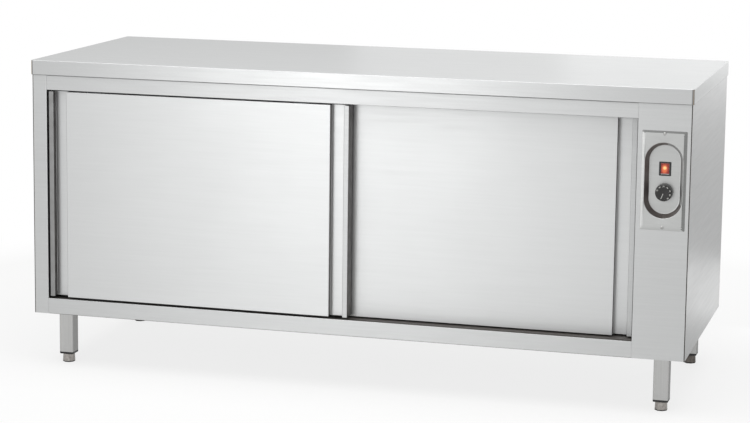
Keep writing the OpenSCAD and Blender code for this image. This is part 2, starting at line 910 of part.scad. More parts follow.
module switch_housing() {
  body_w = switch_w / 2 - switch_body_inset;
  body_h = switch_h / 2 - switch_body_inset;
  color("black")
    difference() {
      union() {
        block([plate_x - switch_w / 2, recess_y - switch_t, switch_z - switch_h / 2],
              [plate_x + switch_w / 2, recess_y, switch_z + switch_h / 2]);
        block([plate_x - body_w, recess_y - switch_t, switch_z - body_h],
              [plate_x + body_w, recess_y + switch_body_d, switch_z + body_h]);
      }
      block([plate_x - rocker_slot_w / 2, recess_y - switch_t - cut,
             switch_z - rocker_slot_h / 2],
            [plate_x + rocker_slot_w / 2, recess_y + switch_body_d - switch_wall,
             switch_z + rocker_slot_h / 2]);
      rod_x([plate_x - body_w - cut, rocker_y, switch_z], 1.5 + run_clear, 2 * body_w + 2 * cut);
    }
}

module switch_rocker() {
  h = rocker_h / 2;
  pin_l = switch_w - 2 * switch_body_inset - 1;
  color("orangered")
    translate([plate_x, rocker_y, switch_z])
      rotate([-rocker_tilt, 0, 0]) {
        rotate([90, 0, 90])
          linear_extrude(rocker_w, center = true)
            polygon([
              [-rocker_front, h],
              [-rocker_front + rocker_dish, 0],
              [-rocker_front, -h],
              [0, -h],
              [rocker_back, -h / 2],
              [rocker_back, h / 2],
              [0, h]
            ]);
        rod_x([-pin_l / 2, 0, 0], 1.5, pin_l);
      }
}

module thermostat() {
  color("slategray")
    difference() {
      block([plate_x - thermostat_w / 2, recess_back_y, knob_z - thermostat_h / 2],
            [plate_x + thermostat_w / 2, recess_back_y + thermostat_d,
             knob_z + thermostat_h / 2]);
      rod_y([plate_x, recess_back_y - cut, knob_z], shaft_r + run_clear, thermostat_d - 4 + cut);
    }
}

module thermostat_shaft() {
  shaft_l = knob_gap + knob_t - 4 + plate_t + thermostat_d - 6;
  color("gold")
    rod_y([plate_x, knob_front_y + 4, knob_z], shaft_r, shaft_l);
}

module control_knob() {
  color("black")
    difference() {
      translate([plate_x, knob_front_y, knob_z])
        rotate([-90, 0, 0])
          cylinder(r1 = knob_d / 2 - knob_draft, r2 = knob_d / 2, h = knob_t);
      rod_y([plate_x, knob_front_y + 4 - run_clear, knob_z], shaft_r + run_clear, knob_t);
    }
}

// Sensor bulb in the air duct, with its capillary tube back to the thermostat
module thermostat_bulb() {
  start_y = recess_back_y + thermostat_d;
  bulb_x = open_x1 - bulb_r - 0.5;
  color("peru") {
    rod_y([plate_x, start_y, knob_z], capillary_r, bulb_y - start_y);
    translate([plate_x, bulb_y, knob_z]) sphere(r = capillary_r);
    rod_x([bulb_x, bulb_y, knob_z], capillary_r, plate_x - bulb_x);
    rod_z([bulb_x, bulb_y, knob_z - bulb_l], bulb_r, bulb_l + bulb_r);
  }
}

// ---- Heating ----

module fan_motor() {
  color("slategray")
    difference() {
      union() {
        rod_x([motor_x, fan_y, fan_z], motor_flange_r, motor_flange_t);
        rod_x([motor_x, fan_y, fan_z], motor_r, motor_l);
        rod_x([motor_x + motor_l, fan_y, fan_z], motor_r / 3, 6);
      }
      rod_x([motor_x - cut, fan_y, fan_z], fan_shaft_r + run_clear, motor_l - 6 + cut);
    }
}

module fan_wheel() {
  color("silver") {
    rod_x([fan_x0, fan_y, fan_z], fan_shaft_r, motor_x + motor_l - 8 - fan_x0);
    rod_x([fan_x0, fan_y, fan_z], fan_hub_r, fan_x1 - fan_x0);
    rod_x([fan_x1 - fan_plate_t, fan_y, fan_z], fan_r, fan_plate_t);
    for (i = [0 : fan_blades - 1])
      translate([0, fan_y, fan_z])
        rotate([i * 360 / fan_blades, 0, 0])
          block([fan_x0, blade_r0, -blade_t / 2], [fan_x1 - 0.5, fan_r - 1, blade_t / 2]);
  }
}

// Perforated cover over the air duct, with its sides folded back to the heater wall
module air_cover() {
  rows = floor(intake_r / (intake_pitch * sqrt(3) / 2));
  columns = floor(intake_r / intake_pitch) + 1;
  slot_span = duct_y1 - duct_y0 - 2 * outlet_inset;
  slot_step = slot_span / (outlet_count - 1);
  color("lightgray")
    difference() {
      block([duct_x, duct_y0, duct_z0], [open_x1, duct_y1, duct_z1]);
      block([duct_x + sheet, duct_y0 + sheet, duct_z0 + sheet],
            [open_x1 + cut, duct_y1 - sheet, duct_z1 - sheet]);
      for (j = [-rows : rows], i = [-columns : columns]) {
        dy = (i + (abs(j) % 2) / 2) * intake_pitch;
        dz = j * intake_pitch * sqrt(3) / 2;
        if (norm([dy, dz]) <= intake_r)
          rod_x([duct_x - cut, fan_y + dy, fan_z + dz], intake_hole_r, sheet + 2 * cut);
      }
      for (i = [0 : outlet_count - 1], z = [duct_z0 + outlet_inset,
                                            duct_z1 - outlet_inset - outlet_h])
        translate([duct_x - cut, duct_y0 + outlet_inset + i * slot_step - outlet_w / 2, z])
          cube([sheet + 2 * cut, outlet_w, outlet_h]);
    }
}

// Tubular ring round the fan wheel, open at the bottom, with two straight ends
module heating_element() {
  color("dimgray") {
    translate([ring_x, fan_y, fan_z])
      rotate([0, 90, 0])
        rotate([0, 0, ring_gap_deg / 2])
          rotate_extrude(angle = 360 - ring_gap_deg)
            translate([ring_r, 0]) circle(r = tube_r);
    for (s = [-1, 1]) {
      y = fan_y + ring_r * sin(s * ring_gap_deg / 2);
      z = fan_z - ring_r * cos(ring_gap_deg / 2);
      rod_x([ring_x - terminal_r, y, z], terminal_r, terminal_x - ring_x + terminal_r);
    }
  }
}

module safety_thermostat() {
  color("ivory")
    rod_x([open_x1 + sheet + heater_insulation_t, fan_y, limiter_z], limiter_r, limiter_l);
}

module terminal_block() {
  terminal_setback = 90;
  way_count = 5;
  way_w = 12;
  length = way_count * way_w;
  block_d = 24;
  block_h = 28;
  y = gland_y - terminal_setback;
  color("ivory")
    difference() {
      block([gland_x - block_d / 2, y - length / 2, tray_top_z],
            [gland_x + block_d / 2, y + length / 2, tray_top_z + block_h]);
      for (i = [0 : way_count - 1])
        rod_z([gland_x, y - length / 2 + (i + 0.5) * way_w, tray_top_z + block_h / 2],
              3, block_h / 2 + cut);
    }
}

// Gland in the tray: a nut inside, a thread through the sheet, a hexagon and a dome below
module cable_gland() {
  hex_r = gland_r + 4;
  hex_h = 8;
  nut_h = 5;
  dome_h = 12;
  color("dimgray")
    difference() {
      union() {
        rod_z([gland_x, gland_y, body_z - 1], gland_r, sheet + nut_h + 1);
        translate([gland_x, gland_y, body_z - hex_h]) cylinder(r = hex_r, h = hex_h, $fn = 6);
        translate([gland_x, gland_y, tray_top_z]) cylinder(r = hex_r, h = nut_h, $fn = 6);
        translate([gland_x, gland_y, body_z - hex_h - dome_h])
          cylinder(r1 = gland_r - 2, r2 = gland_r, h = dome_h);
      }
      rod_z([gland_x, gland_y, body_z - hex_h - dome_h - cut], cable_r,
            hex_h + dome_h + sheet + nut_h + 2 * cut);
    }
}

// ---- Legs ----

module leg(x, y) {
  h = leg_w / 2;
  p = leg_plate_w / 2;
  color("silver")
    difference() {
      union() {
        block([x - h, y - h, leg_z], [x + h, y + h, tray_top_z]);
        block([x - p, y - p, tray_top_z], [x + p, y + p, tray_top_z + leg_plate_t]);
      }
      block([x - h + leg_wall, y - h + leg_wall, leg_z - cut],
            [x + h - leg_wall, y + h - leg_wall, tray_top_z]);
    }
}

module leg_plug(x, y) {
  h = leg_w / 2;
  in_h = h - leg_wall - plug_clear;
  difference() {
    union() {
      block([x - h, y - h, plug_z], [x + h, y + h, leg_z]);
      block([x - in_h, y - in_h, plug_z], [x + in_h, y + in_h, leg_z + plug_l]);
    }
    rod_z([x, y, plug_z - cut], stem_r + run_clear, plug_t + plug_l + 2 * cut);
  }
}

module leg_plugs() {
  color("black")
    for (x = [-leg_x, leg_x], y = [leg_front_y, leg_back_y])
      leg_plug(x, y);
}

// Levelling foot: an eight-sided base and a threaded stem up into the plug
module foot(x, y) {
  foot_h = plug_z - seat_gap;
  color("gray") {
    translate([x, y, 0])
      rotate([0, 0, 22.5])
        cylinder(r1 = foot_r, r2 = foot_r - foot_taper, h = foot_h, $fn = 8);
    rod_z([x, y, foot_h - 1], stem_r, stem_top_z - foot_h + 1);
  }
}

module leg_front_left() { leg(-leg_x, leg_front_y); }
module leg_front_right() { leg(leg_x, leg_front_y); }
module leg_back_left() { leg(-leg_x, leg_back_y); }
module leg_back_right() { leg(leg_x, leg_back_y); }
module foot_front_left() { foot(-leg_x, leg_front_y); }
module foot_front_right() { foot(leg_x, leg_front_y); }
module foot_back_left() { foot(-leg_x, leg_back_y); }
module foot_back_right() { foot(leg_x, leg_back_y); }

worktop_skin();
worktop_board();
left_side_panel();
right_side_panel();
left_stile();
control_column();
top_rail();
bottom_rail();
back_panel();
base_tray();
chamber_floor();
chamber_back();
chamber_left_wall();
heater_wall();
chamber_ceiling();
insulation();
shelf();
shelf_uprights();
shelf_brackets();
door_track();
bottom_guide();
door_stops();
left_door_front();
left_door_back();
left_door_core();
left_door_hangers();
left_door_wheel_1();
left_door_wheel_2();
left_door_shoes();
right_door_front();
right_door_back();
right_door_core();
right_door_hangers();
right_door_wheel_1();
right_door_wheel_2();
right_door_shoes();
control_plate();
plate_screws();
switch_housing();
switch_rocker();
thermostat();
thermostat_shaft();
control_knob();
thermostat_bulb();
fan_motor();
fan_wheel();
air_cover();
heating_element();
safety_thermostat();
terminal_block();
cable_gland();
leg_front_left();
leg_front_right();
leg_back_left();
leg_back_right();
leg_plugs();
foot_front_left();
foot_front_right();
foot_back_left();
foot_back_right();
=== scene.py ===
"""Stainless steel plate warmer with two sliding doors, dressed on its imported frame.

Every size in the classes below is in millimetres, in the cabinet's own frame:
X runs along the width, -Y is the front, Z is up, and the origin is on the floor
under the middle of the worktop. Meshes are turned to metres as they are made.
"""
import logging
import math
from dataclasses import dataclass, field
from enum import Enum
from typing import Callable, Iterable, Sequence

import bmesh
import bpy
from mathutils import Matrix, Vector


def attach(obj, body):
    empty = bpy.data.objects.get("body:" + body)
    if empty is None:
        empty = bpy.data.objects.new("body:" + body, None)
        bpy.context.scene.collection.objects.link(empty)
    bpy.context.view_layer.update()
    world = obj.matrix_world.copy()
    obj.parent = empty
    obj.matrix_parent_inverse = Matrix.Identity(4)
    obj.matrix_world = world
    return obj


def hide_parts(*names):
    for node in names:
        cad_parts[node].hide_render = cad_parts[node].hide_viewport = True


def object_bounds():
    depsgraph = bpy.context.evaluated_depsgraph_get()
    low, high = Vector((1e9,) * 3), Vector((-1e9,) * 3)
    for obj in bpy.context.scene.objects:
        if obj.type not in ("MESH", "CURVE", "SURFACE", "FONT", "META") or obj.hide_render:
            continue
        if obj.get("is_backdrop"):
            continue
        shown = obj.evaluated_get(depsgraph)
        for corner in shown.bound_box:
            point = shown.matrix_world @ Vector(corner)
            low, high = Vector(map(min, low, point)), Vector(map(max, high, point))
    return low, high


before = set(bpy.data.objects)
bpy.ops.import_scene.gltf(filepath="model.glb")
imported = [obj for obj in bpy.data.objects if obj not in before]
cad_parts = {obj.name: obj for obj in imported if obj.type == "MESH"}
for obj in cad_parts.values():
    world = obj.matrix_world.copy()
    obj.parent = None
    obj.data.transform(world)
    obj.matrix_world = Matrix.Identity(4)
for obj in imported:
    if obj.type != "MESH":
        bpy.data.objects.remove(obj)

logging.basicConfig(level=logging.INFO, format="%(message)s")
log = logging.getLogger("plate_warmer")

MM = 0.001
QUARTER = math.radians(90)
CAD_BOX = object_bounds()

Point = tuple[float, float]
Triple = tuple[float, float, float]
Ring = tuple[list[Point], float]
Colour = tuple[float, float, float, float]
Tree = bpy.types.NodeTree
Node = bpy.types.Node
Socket = bpy.types.NodeSocket
Object = bpy.types.Object


# ---- Colours and nodes ----


def linear(hex_colour: str) -> Colour:
    """Turns an sRGB colour into the linear one that the shaders take.

    Args:
        hex_colour: A # and six hex digits.

    Returns:
        Linear red, green, blue and an alpha of 1.
    """
    parts = [int(hex_colour[i:i + 2], 16) / 255 for i in (1, 3, 5)]
    red, green, blue = [
        c / 12.92 if c <= 0.04045 else ((c + 0.055) / 1.055) ** 2.4 for c in parts
    ]
    return red, green, blue, 1.0


def feed(node: Node, feeds: dict[str | int, object]) -> None:
    """Feeds a node's inputs.

    Args:
        node: The node.
        feeds: For each input, by name or number, a value, or a socket or node to link.
    """
    for key, value in feeds.items():
        if isinstance(value, Node):
            value = value.outputs[0]
        if isinstance(value, Socket):
            node.id_data.links.new(value, node.inputs[key])
        else:
            node.inputs[key].default_value = value


def add_node(
    tree: Tree, kind: str, feeds: dict[str | int, object] | None = None, **settings: object
) -> Node:
    """Adds a node to a tree.

    Args:
        tree: The tree that gets the node.
        kind: The node's type name.
        feeds: What its inputs get.
        **settings: The node's own properties.

    Returns:
        The new node.
    """
    node = tree.nodes.new(kind)
    for name, value in settings.items():
        setattr(node, name, value)
    feed(node, feeds or {})
    return node


# ---- Finishes ----


class Grain(Enum):
    """The way that the brushing runs, and the way across it where a face has none."""

    ALONG_X = ((1.0, 0.0, 0.0), (0.0, 0.001, 0.0005))
    ALONG_Y = ((0.0, 1.0, 0.0), (0.0005, 0.0, 0.001))
    ALONG_Z = ((0.0, 0.0, 1.0), (0.001, 0.0005, 0.0))


@dataclass(frozen=True)
class Finish:
    """What every finish shares: its name, two colours, roughness and the way it is made."""

    name: str
    colour: str
    roughness: float
    shade: str = "#101010"

    def material(self) -> bpy.types.Material:
        """Returns the finish as a material, made the first time it is asked for."""
        made = bpy.data.materials.get(self.name)
        if made is None:
            made = bpy.data.materials.new(self.name)
            made.use_nodes = True
            tree = made.node_tree
            shader = tree.nodes["Principled BSDF"]
            feed(shader, {"Base Color": linear(self.colour), "Roughness": self.roughness})
            place = add_node(tree, "ShaderNodeTexCoord").outputs["Object"]
            self.build(tree, shader, place)
        return made

    def build(self, tree: Tree, shader: Node, place: Socket) -> None:
        """Makes the finish's own pattern.

        Args:
            tree: The material's tree.
            shader: Its shader.
            place: The Object coordinates, in metres.
        """
        raise NotImplementedError

    @staticmethod
    def noise(
        tree: Tree, place: Socket, size_mm: Sequence[float], detail: float = 1.0,
        at: Triple = (0.0, 0.0, 0.0),
    ) -> Node:
        """Adds a noise whose features have a given size along each axis.

        Args:
            tree: The material's tree.
            place: The Object coordinates.
            size_mm: The features' size along X, Y and Z.
            detail: How many finer layers the noise has.
            at: A shift in metres, so that two noises differ.

        Returns:
            The noise.
        """
        scale = tuple(1 / (size * MM) for size in size_mm)
        placed = add_node(tree, "ShaderNodeMapping",
                          {"Vector": place, "Location": at, "Scale": scale})
        return add_node(tree, "ShaderNodeTexNoise",
                        {"Vector": placed, "Scale": 1.0, "Detail": detail})

    @staticmethod
    def spread(tree: Tree, value: Node, low: float, high: float) -> Node:
        """Spreads a noise's middle range over low to high."""
        return add_node(tree, "ShaderNodeMapRange", {
            "Value": value, "From Min": 0.3, "From Max": 0.7, "To Min": low, "To Max": high})

    @staticmethod
    def blend(tree: Tree, factor: Node, first: Colour | Socket, second: Colour | Socket) -> Socket:
        """Blends two colours by a factor."""
        return add_node(tree, "ShaderNodeMix", {0: factor, 6: first, 7: second},
                        data_type="RGBA").outputs[2]

    def tint(self, tree: Tree, shader: Node, pattern: Node) -> None:
        """Lets the colour go from the shade to the full colour with a pattern."""
        feed(shader, {"Base Color": self.blend(
            tree, self.spread(tree, pattern, 0, 1), linear(self.shade), linear(self.colour))})

    def polish(self, tree: Tree, shader: Node, pattern: Node, more: float, less: float) -> None:
        """Lets the roughness go from more to less than its value with a pattern."""
        feed(shader, {"Roughness": self.spread(
            tree, pattern, self.roughness + more, self.roughness - less)})

    @staticmethod
    def bump(tree: Tree, shader: Node, height: Node, depth_mm: float, strength: float) -> None:
        """Raises and lowers the surface by a height field of a given depth."""
        feed(shader, {"Normal": add_node(tree, "ShaderNodeBump", {
            "Height": height, "Distance": depth_mm * MM, "Strength": strength})})


@dataclass(frozen=True)
class BrushedSteel(Finish):
    """Stainless sheet ground with a fine belt, so that light stretches across the grain."""

    grain: Grain = Grain.ALONG_X
    stretch: float = 0.7
    glance: float = 0.9  # how much of the light it sends on at a glancing angle
    streak_mm: float = 5.0  # real scratches are 0.1 mm apart: drawn coarser, to show at all
    streak_run_mm: float = 160.0
    cloud_mm: float = 260.0
    scratch_mm: float = 0.003
    smudge: float = 0.25

    def build(self, tree: Tree, shader: Node, place: Socket) -> None:
        """Makes streaks, cloudy handling marks and the stretched gloss of brushed steel.

        Args:
            tree: The material's tree.
            shader: Its shader.
            place: The Object coordinates, in metres.
        """
        along, across = self.grain.value
        sizes = [self.streak_run_mm if part else self.streak_mm for part in along]
        streaks = self.noise(tree, place, sizes, 3.0)
        clouds = self.noise(tree, place, [self.cloud_mm] * 3, 3.0, (3, 1, 7))
        tone = add_node(tree, "ShaderNodeMix",
                        {"Factor": self.smudge, "A": streaks, "B": clouds})
        self.tint(tree, shader, tone)
        self.polish(tree, shader, tone, 0.03, 0.03)
        self.bump(tree, shader, streaks, self.scratch_mm, 0.4)
        facing = add_node(tree, "ShaderNodeNewGeometry").outputs["Normal"]
        turned = add_node(tree, "ShaderNodeVectorMath", {0: facing, 1: along},
                          operation="CROSS_PRODUCT")
        tangent = add_node(tree, "ShaderNodeVectorMath", {0: turned, 1: across},
                           operation="ADD")
        feed(shader, {"Metallic": 1.0, "Anisotropic": self.stretch, "Tangent": tangent,
                      "Specular Tint": (self.glance,) * 3 + (1.0,)})


@dataclass(frozen=True)
class PlainMetal(Finish):
    """Metal as it leaves the mill, the plating bath or the lathe, with no grain."""

    patch_mm: float = 40.0
    grit_mm: float = 0.6
    grit_depth_mm: float = 0.004

    def build(self, tree: Tree, shader: Node, place: Socket) -> None:
        """Makes soft patches of tone and a fine pitted surface.

        Args:
            tree: The material's tree.
            shader: Its shader.
            place: The Object coordinates, in metres.
        """
        patches = self.noise(tree, place, [self.patch_mm] * 3, 4.0)
        grit = self.noise(tree, place, [self.grit_mm] * 3, at=(5, 2, 1))
        feed(shader, {"Metallic": 1.0})
        self.tint(tree, shader, patches)
        self.polish(tree, shader, patches, 0.05, 0.05)
        self.bump(tree, shader, grit, self.grit_depth_mm, 0.3)


@dataclass(frozen=True)
class Moulded(Finish):
    """Plastic, rubber or resin from a mould, with the mould's own fine texture."""

    patch_mm: float = 12.0
    grit_mm: float = 0.8
    grit_depth_mm: float = 0.02
    index: float = 1.5

    def build(self, tree: Tree, shader: Node, place: Socket) -> None:
        """Makes a moulded skin with slight changes of tone and gloss.

        Args:
            tree: The material's tree.
            shader: Its shader.
            place: The Object coordinates, in metres.
        """
        patches = self.noise(tree, place, [self.patch_mm] * 3, 3.0)
        grit = self.noise(tree, place, [self.grit_mm] * 3, at=(2, 4, 1))
        feed(shader, {"IOR": self.index})
        self.tint(tree, shader, patches)
        self.polish(tree, shader, patches, 0.05, 0.04)
        self.bump(tree, shader, grit, self.grit_depth_mm, 0.35)


@dataclass(frozen=True)
class Fibrous(Finish):
    """Wool, board or any stuff of strands or chips."""

    strand_mm: Triple = (14.0, 14.0, 2.0)
    depth_mm: float = 0.6

    def build(self, tree: Tree, shader: Node, place: Socket) -> None:
        """Makes layered strands of two tones with a rough relief.

        Args:
            tree: The material's tree.
            shader: Its shader.
            place: The Object coordinates, in metres.
        """
        strands = self.noise(tree, place, self.strand_mm, 5.0)
        self.tint(tree, shader, strands)
        self.bump(tree, shader, strands, self.depth_mm, 0.7)


@dataclass(frozen=True)
class LitLens(Finish):
    """Clear red lens with a small lamp behind it, brightest over the lamp."""

    rim: str = "#5A2018"
    glow: str = "#CC6A3E"
    core: str = "#FFDF94"
    middle_at: Triple = (827.6, -326.5, 641.6)
    glow_mm: Point = (10.0, 15.0)
    lamp_at: Triple = (828.0, -326.5, 644.0)
    core_mm: Point = (6.5, 6.5)
    rib_mm: Triple = (3.0, 3.0, 1.2)
    index: float = 1.49

    @staticmethod
    def away(tree: Tree, place: Socket, centre: Triple, reach: Point, inner: float) -> Node:
        """Says how far out a point lies in an oval patch of light.

        Args:
            tree: The material's tree.
            place: The Object coordinates.
            centre: The patch's middle, in millimetres.
            reach: How far the patch goes along X and Z, in millimetres.
            inner: The share of that reach over which the light stays full.

        Returns:
            A value from 0 in the middle to 1 at the patch's edge.
        """
        middle = tuple(part * MM for part in centre)
        scale = (1 / (reach[0] * MM), 0.0, 1 / (reach[1] * MM))
        offset = add_node(tree, "ShaderNodeVectorMath", {0: place, 1: middle},
                          operation="SUBTRACT")
        scaled = add_node(tree, "ShaderNodeVectorMath", {0: offset, 1: scale},
                          operation="MULTIPLY")
        distance = add_node(tree, "ShaderNodeVectorMath", {0: scaled}, operation="LENGTH")
        return add_node(
            tree, "ShaderNodeMapRange",
            {"Value": distance.outputs["Value"], "From Min": inner, "From Max": 1.0},
            interpolation_type="SMOOTHSTEP",
        )

    def build(self, tree: Tree, shader: Node, place: Socket) -> None:
        """Makes a red skin whose own light fades from the lamp outwards.

        Args:
            tree: The material's tree.
            shader: Its shader.
            place: The Object coordinates, in metres.
        """
        near = self.away(tree, place, self.lamp_at, self.core_mm, 0.15)
        outer = self.away(tree, place, self.middle_at, self.glow_mm, 0.4)
        ribs = self.noise(tree, place, self.rib_mm)
        middle = self.blend(tree, near, linear(self.core), linear(self.glow))
        light = self.blend(tree, outer, middle, linear(self.rim))
        feed(shader, {"IOR": self.index, "Emission Color": light,
                      "Emission Strength": self.spread(tree, ribs, 0.85, 1.1)})
        self.bump(tree, shader, ribs, 0.05, 0.4)


class Finishes:
    """Every finish on the cabinet, by its common name."""

    # Satin ground stainless: the long grain turns the studio into soft upright bands
    worktop = BrushedSteel("satin_stainless_worktop", "#BDBEBE", 0.36, "#B9BABA", glance=0.85)
    front = BrushedSteel("satin_stainless_front", "#BEBFBF", 0.42, "#BABBBB")
    door = BrushedSteel("satin_stainless_door", "#C6C7C7", 0.41, "#C3C4C4", smudge=0.4)
    # A darker copy of the door steel: painted shade on the door lips
    hem = BrushedSteel("satin_stainless_lip_painted_shade", "#B7B8B8", 0.42, "#B2B3B3", smudge=0.4)
    side = BrushedSteel("satin_stainless_side", "#B4B5B5", 0.38, "#AFB0B0", Grain.ALONG_Y,
                        glance=0.66)
    leg = BrushedSteel("satin_stainless_tube", "#BABAB9", 0.38, "#B2B2B1", Grain.ALONG_Z,
                       glance=0.3, streak_mm=3.0)
    shelf = BrushedSteel("satin_stainless_shelf", "#BDBEBE", 0.37, "#B7B8B8")
    plate = BrushedSteel("satin_stainless_plate", "#B5B6B5", 0.38, "#B1B2B1",
                         stretch=0.4, streak_mm=3.0, streak_run_mm=60.0)
    # A darker copy of the plate steel: painted shade on the plate's top and right edge bands
    pressed = BrushedSteel("satin_stainless_edge_painted_shade", "#838483", 0.38, "#7B7C7B",
                           stretch=0.3, streak_mm=3.0, streak_run_mm=60.0)
    # Sheet as rolled, where the belt doesn't reach: dull, with no bands
    mill = PlainMetal("mill_finish_stainless", "#AEAFAF", 0.42, "#A3A4A4", 70.0)
    # Darker copies of the mill sheet: painted shade for folds, corners, channel walls, door ends,
    # screw heads and the recess wall
    fold = PlainMetal("stainless_fold_painted_shade", "#8E8E8E", 0.46, "#848483", 25.0)
    bend = PlainMetal("stainless_bend_painted_shade", "#6F6D6C", 0.48, "#656361", 25.0)
    groove = PlainMetal("stainless_groove_painted_shade", "#4C4947", 0.5, "#433F3D", 25.0)
    drawn = PlainMetal("stainless_recess_wall_painted_shade", "#7C7471", 0.46, "#6E6663", 30.0)
    # Plated, turned and bare small parts: tighter gloss, each with its metal's own colour
    zinc = PlainMetal("black_zinc_plate", "#55585B", 0.38, "#484B4E", 9.0)
    screw = PlainMetal("polished_stainless_screw", "#B2B2B0", 0.32, "#A3A3A1", 3.0)
    # A darker copy of the foot finish: painted shade for the back feet, which stand in the
    # cabinet's shadow
    dull_foot = PlainMetal("turned_zinc_foot_dull", "#6E6965", 0.45, "#5B5753", 7.0)
    foot = PlainMetal("turned_zinc_foot", "#A8A4A0", 0.38, "#908C88", 7.0)
    aluminium = PlainMetal("anodised_aluminium", "#BFC2C4", 0.34, "#B2B5B7", 55.0)
    fan = PlainMetal("pressed_aluminium", "#C9CACB", 0.4, "#B7B8B9", 20.0)
    copper = PlainMetal("drawn_copper", "#C07A52", 0.3, "#9C5A3A", 8.0)
    heater = PlainMetal("oxidised_heater_tube", "#5C5550", 0.5, "#453F3B", 9.0)
    brass = PlainMetal("turned_brass", "#C9A657", 0.28, "#B08E42", 5.0)
    motor = PlainMetal("electric_steel_can", "#8B9092", 0.45, "#74797C", 16.0)
    # Mouldings: a faint skin texture that keeps black from looking painted
    nylon_black = Moulded("black_nylon", "#1B1B1C", 0.46, "#131314")
    nylon_grey = Moulded("grey_nylon", "#5B5754", 0.5, "#524E4B")
    nylon_white = Moulded("machined_white_nylon", "#E4E2DA", 0.38, "#D8D6CC")
    abs_black = Moulded("black_abs", "#1A1A1B", 0.34, "#141415", grit_mm=0.5)
    phenolic = Moulded("black_phenolic", "#1E1D1D", 0.26, "#171616", grit_mm=0.5,
                       grit_depth_mm=0.008)
    rubber = Moulded("cast_black_rubber", "#232323", 0.72, "#1A1A1A", grit_mm=1.0)
    ceramic = Moulded("ivory_ceramic", "#DDD5BD", 0.3, "#CFC6AB", 9.0)
    case = Moulded("grey_thermostat_case", "#6B6F73", 0.42, "#5D6165")
    white_ink = Moulded("white_dial_ink", "#DADAD6", 0.55, "#C9C9C4", 2.0,
                        grit_depth_mm=0.004)
    # The lamp's light makes the red lens yellow in its middle
    lens = LitLens("lit_red_polycarbonate", "#7A1E18", 0.22)
    # Chips and fibres: deep relief and no gloss
    board = Fibrous("particle_board", "#B99A6B", 0.82, "#8F7146", (6.0, 6.0, 3.0), 0.4)
    wool = Fibrous("brown_mineral_wool", "#B9A765", 0.95, "#8C7B43", (18.0, 18.0, 3.0), 1.2)


# ---- Outlines ----


@dataclass(frozen=True)
class Plane:
    """A place to draw in: an origin in millimetres and three unit vectors."""

    origin: Sequence[float]
    u: Sequence[float]
    v: Sequence[float]
    w: Sequence[float]

    def at(self, a: float, b: float, c: float = 0.0) -> Vector:
        """Returns the point that lies a, b and c along the plane's three vectors."""
        return Vector(self.origin) + a * Vector(self.u) + b * Vector(self.v) + c * Vector(self.w)


def plan(x: float = 0.0, y: float = 0.0) -> Plane:
    """Returns a plane seen from above, with its height along +Z."""
    return Plane((x, y, 0), (1, 0, 0), (0, 1, 0), (0, 0, 1))


def elevation(x: float, y: float, z: float) -> Plane:
    """Returns a plane seen from the front, with its height towards the front."""
    return Plane((x, y, z), (1, 0, 0), (0, 0, 1), (0, -1, 0))


def section(x: float = 0.0, y: float = 0.0, z: float = 0.0) -> Plane:
    """Returns a plane cut across the cabinet: Y and Z, with its height along +X."""
    return Plane((x, y, z), (0, 1, 0), (0, 0, 1), (1, 0, 0))


def rounded(corners: Sequence[Triple], steps: int = 5, closed: bool = True) -> list[Point]:
    """Rounds the corners of an outline.

    Args:
        corners: Each corner's two coordinates and its radius.
        steps: How many edges a rounded corner gets.
        closed: Whether the outline closes on itself.

    Returns:
        The outline's points in order.
    """
    result: list[Point] = []
    count = len(corners)
    for i, (a, b, radius) in enumerate(corners):
        here = Vector((a, b))
        if radius <= 0 or (not closed and i in (0, count - 1)):
            result.append((a, b))
            continue
        before = Vector(corners[i - 1][:2]) - here
        after = Vector(corners[(i + 1) % count][:2]) - here
        half = before.angle(after) / 2
        cut_back = radius / math.tan(half)
        start, end = before.normalized(), after.normalized()
        middle = here + (start + end).normalized() * radius / math.sin(half)
        first = here + start * cut_back - middle
        last = here + end * cut_back - middle
        angle = first.angle(last)
        for step in range(steps + 1):
            t = step / steps
            part = first * math.sin((1 - t) * angle) + last * math.sin(t * angle)
            part /= math.sin(angle)
            result.append((middle.x + part.x, middle.y + part.y))
    return result


def rounded_box(half_w: float, half_h: float, radius: float, steps: int = 4) -> list[Point]:
    """Returns a rounded rectangle about the origin, always with the same number of points."""
    r = min(max(radius, 0.01), half_w, half_h)
    points: list[Point] = []
    for turn, (sx, sy) in enumerate(((1, 1), (-1, 1), (-1, -1), (1, -1))):
        for step in range(steps + 1):
            angle = QUARTER * (turn + step / steps)
            points.append((sx * (half_w - r) + r * math.cos(angle),
                           sy * (half_h - r) + r * math.sin(angle)))
    return points


def circle(radius: float, count: int = 48, turn: float = 0.0) -> list[Point]:
    """Returns a circle about the origin."""
    angles = [turn + 2 * math.pi * i / count for i in range(count)]
    return [(radius * math.cos(angle), radius * math.sin(angle)) for angle in angles]


def boxes(*sizes: Sequence[float], steps: int = 4) -> list[Ring]:
    """Returns rounded rectangles as rings, from half widths, half heights, radii and levels."""
    return [(rounded_box(w, h, radius, steps), level) for w, h, radius, level in sizes]


def rolled_edge(
    half_w: float, half_h: float, corner: float, level: float, fold: float,
    steps: int = 4, up: int = 1, shrink: float = 0.0,
) -> list[Ring]:
    """Makes the rings of a folded edge, from a box's side to its flat.

    Args:
        half_w: Half the box's width.
        half_h: Half its height.
        corner: The radius of its corners.
        level: Where the flat is.
        fold: The fold's radius.
        steps: How many edges the fold gets.
        up: 1 where the flat is over the side, -1 where it is under it.
        shrink: How much the corners tighten as the fold goes in.

    Returns:
        The rings in order.
    """
    rings = []
    for step in range(steps + 1):
        angle = QUARTER * step / steps
        inset = fold * (1 - math.cos(angle))
        rings.append((rounded_box(half_w - inset, half_h - inset, corner - inset * shrink),
                      level - up * fold * (1 - math.sin(angle))))
    return rings


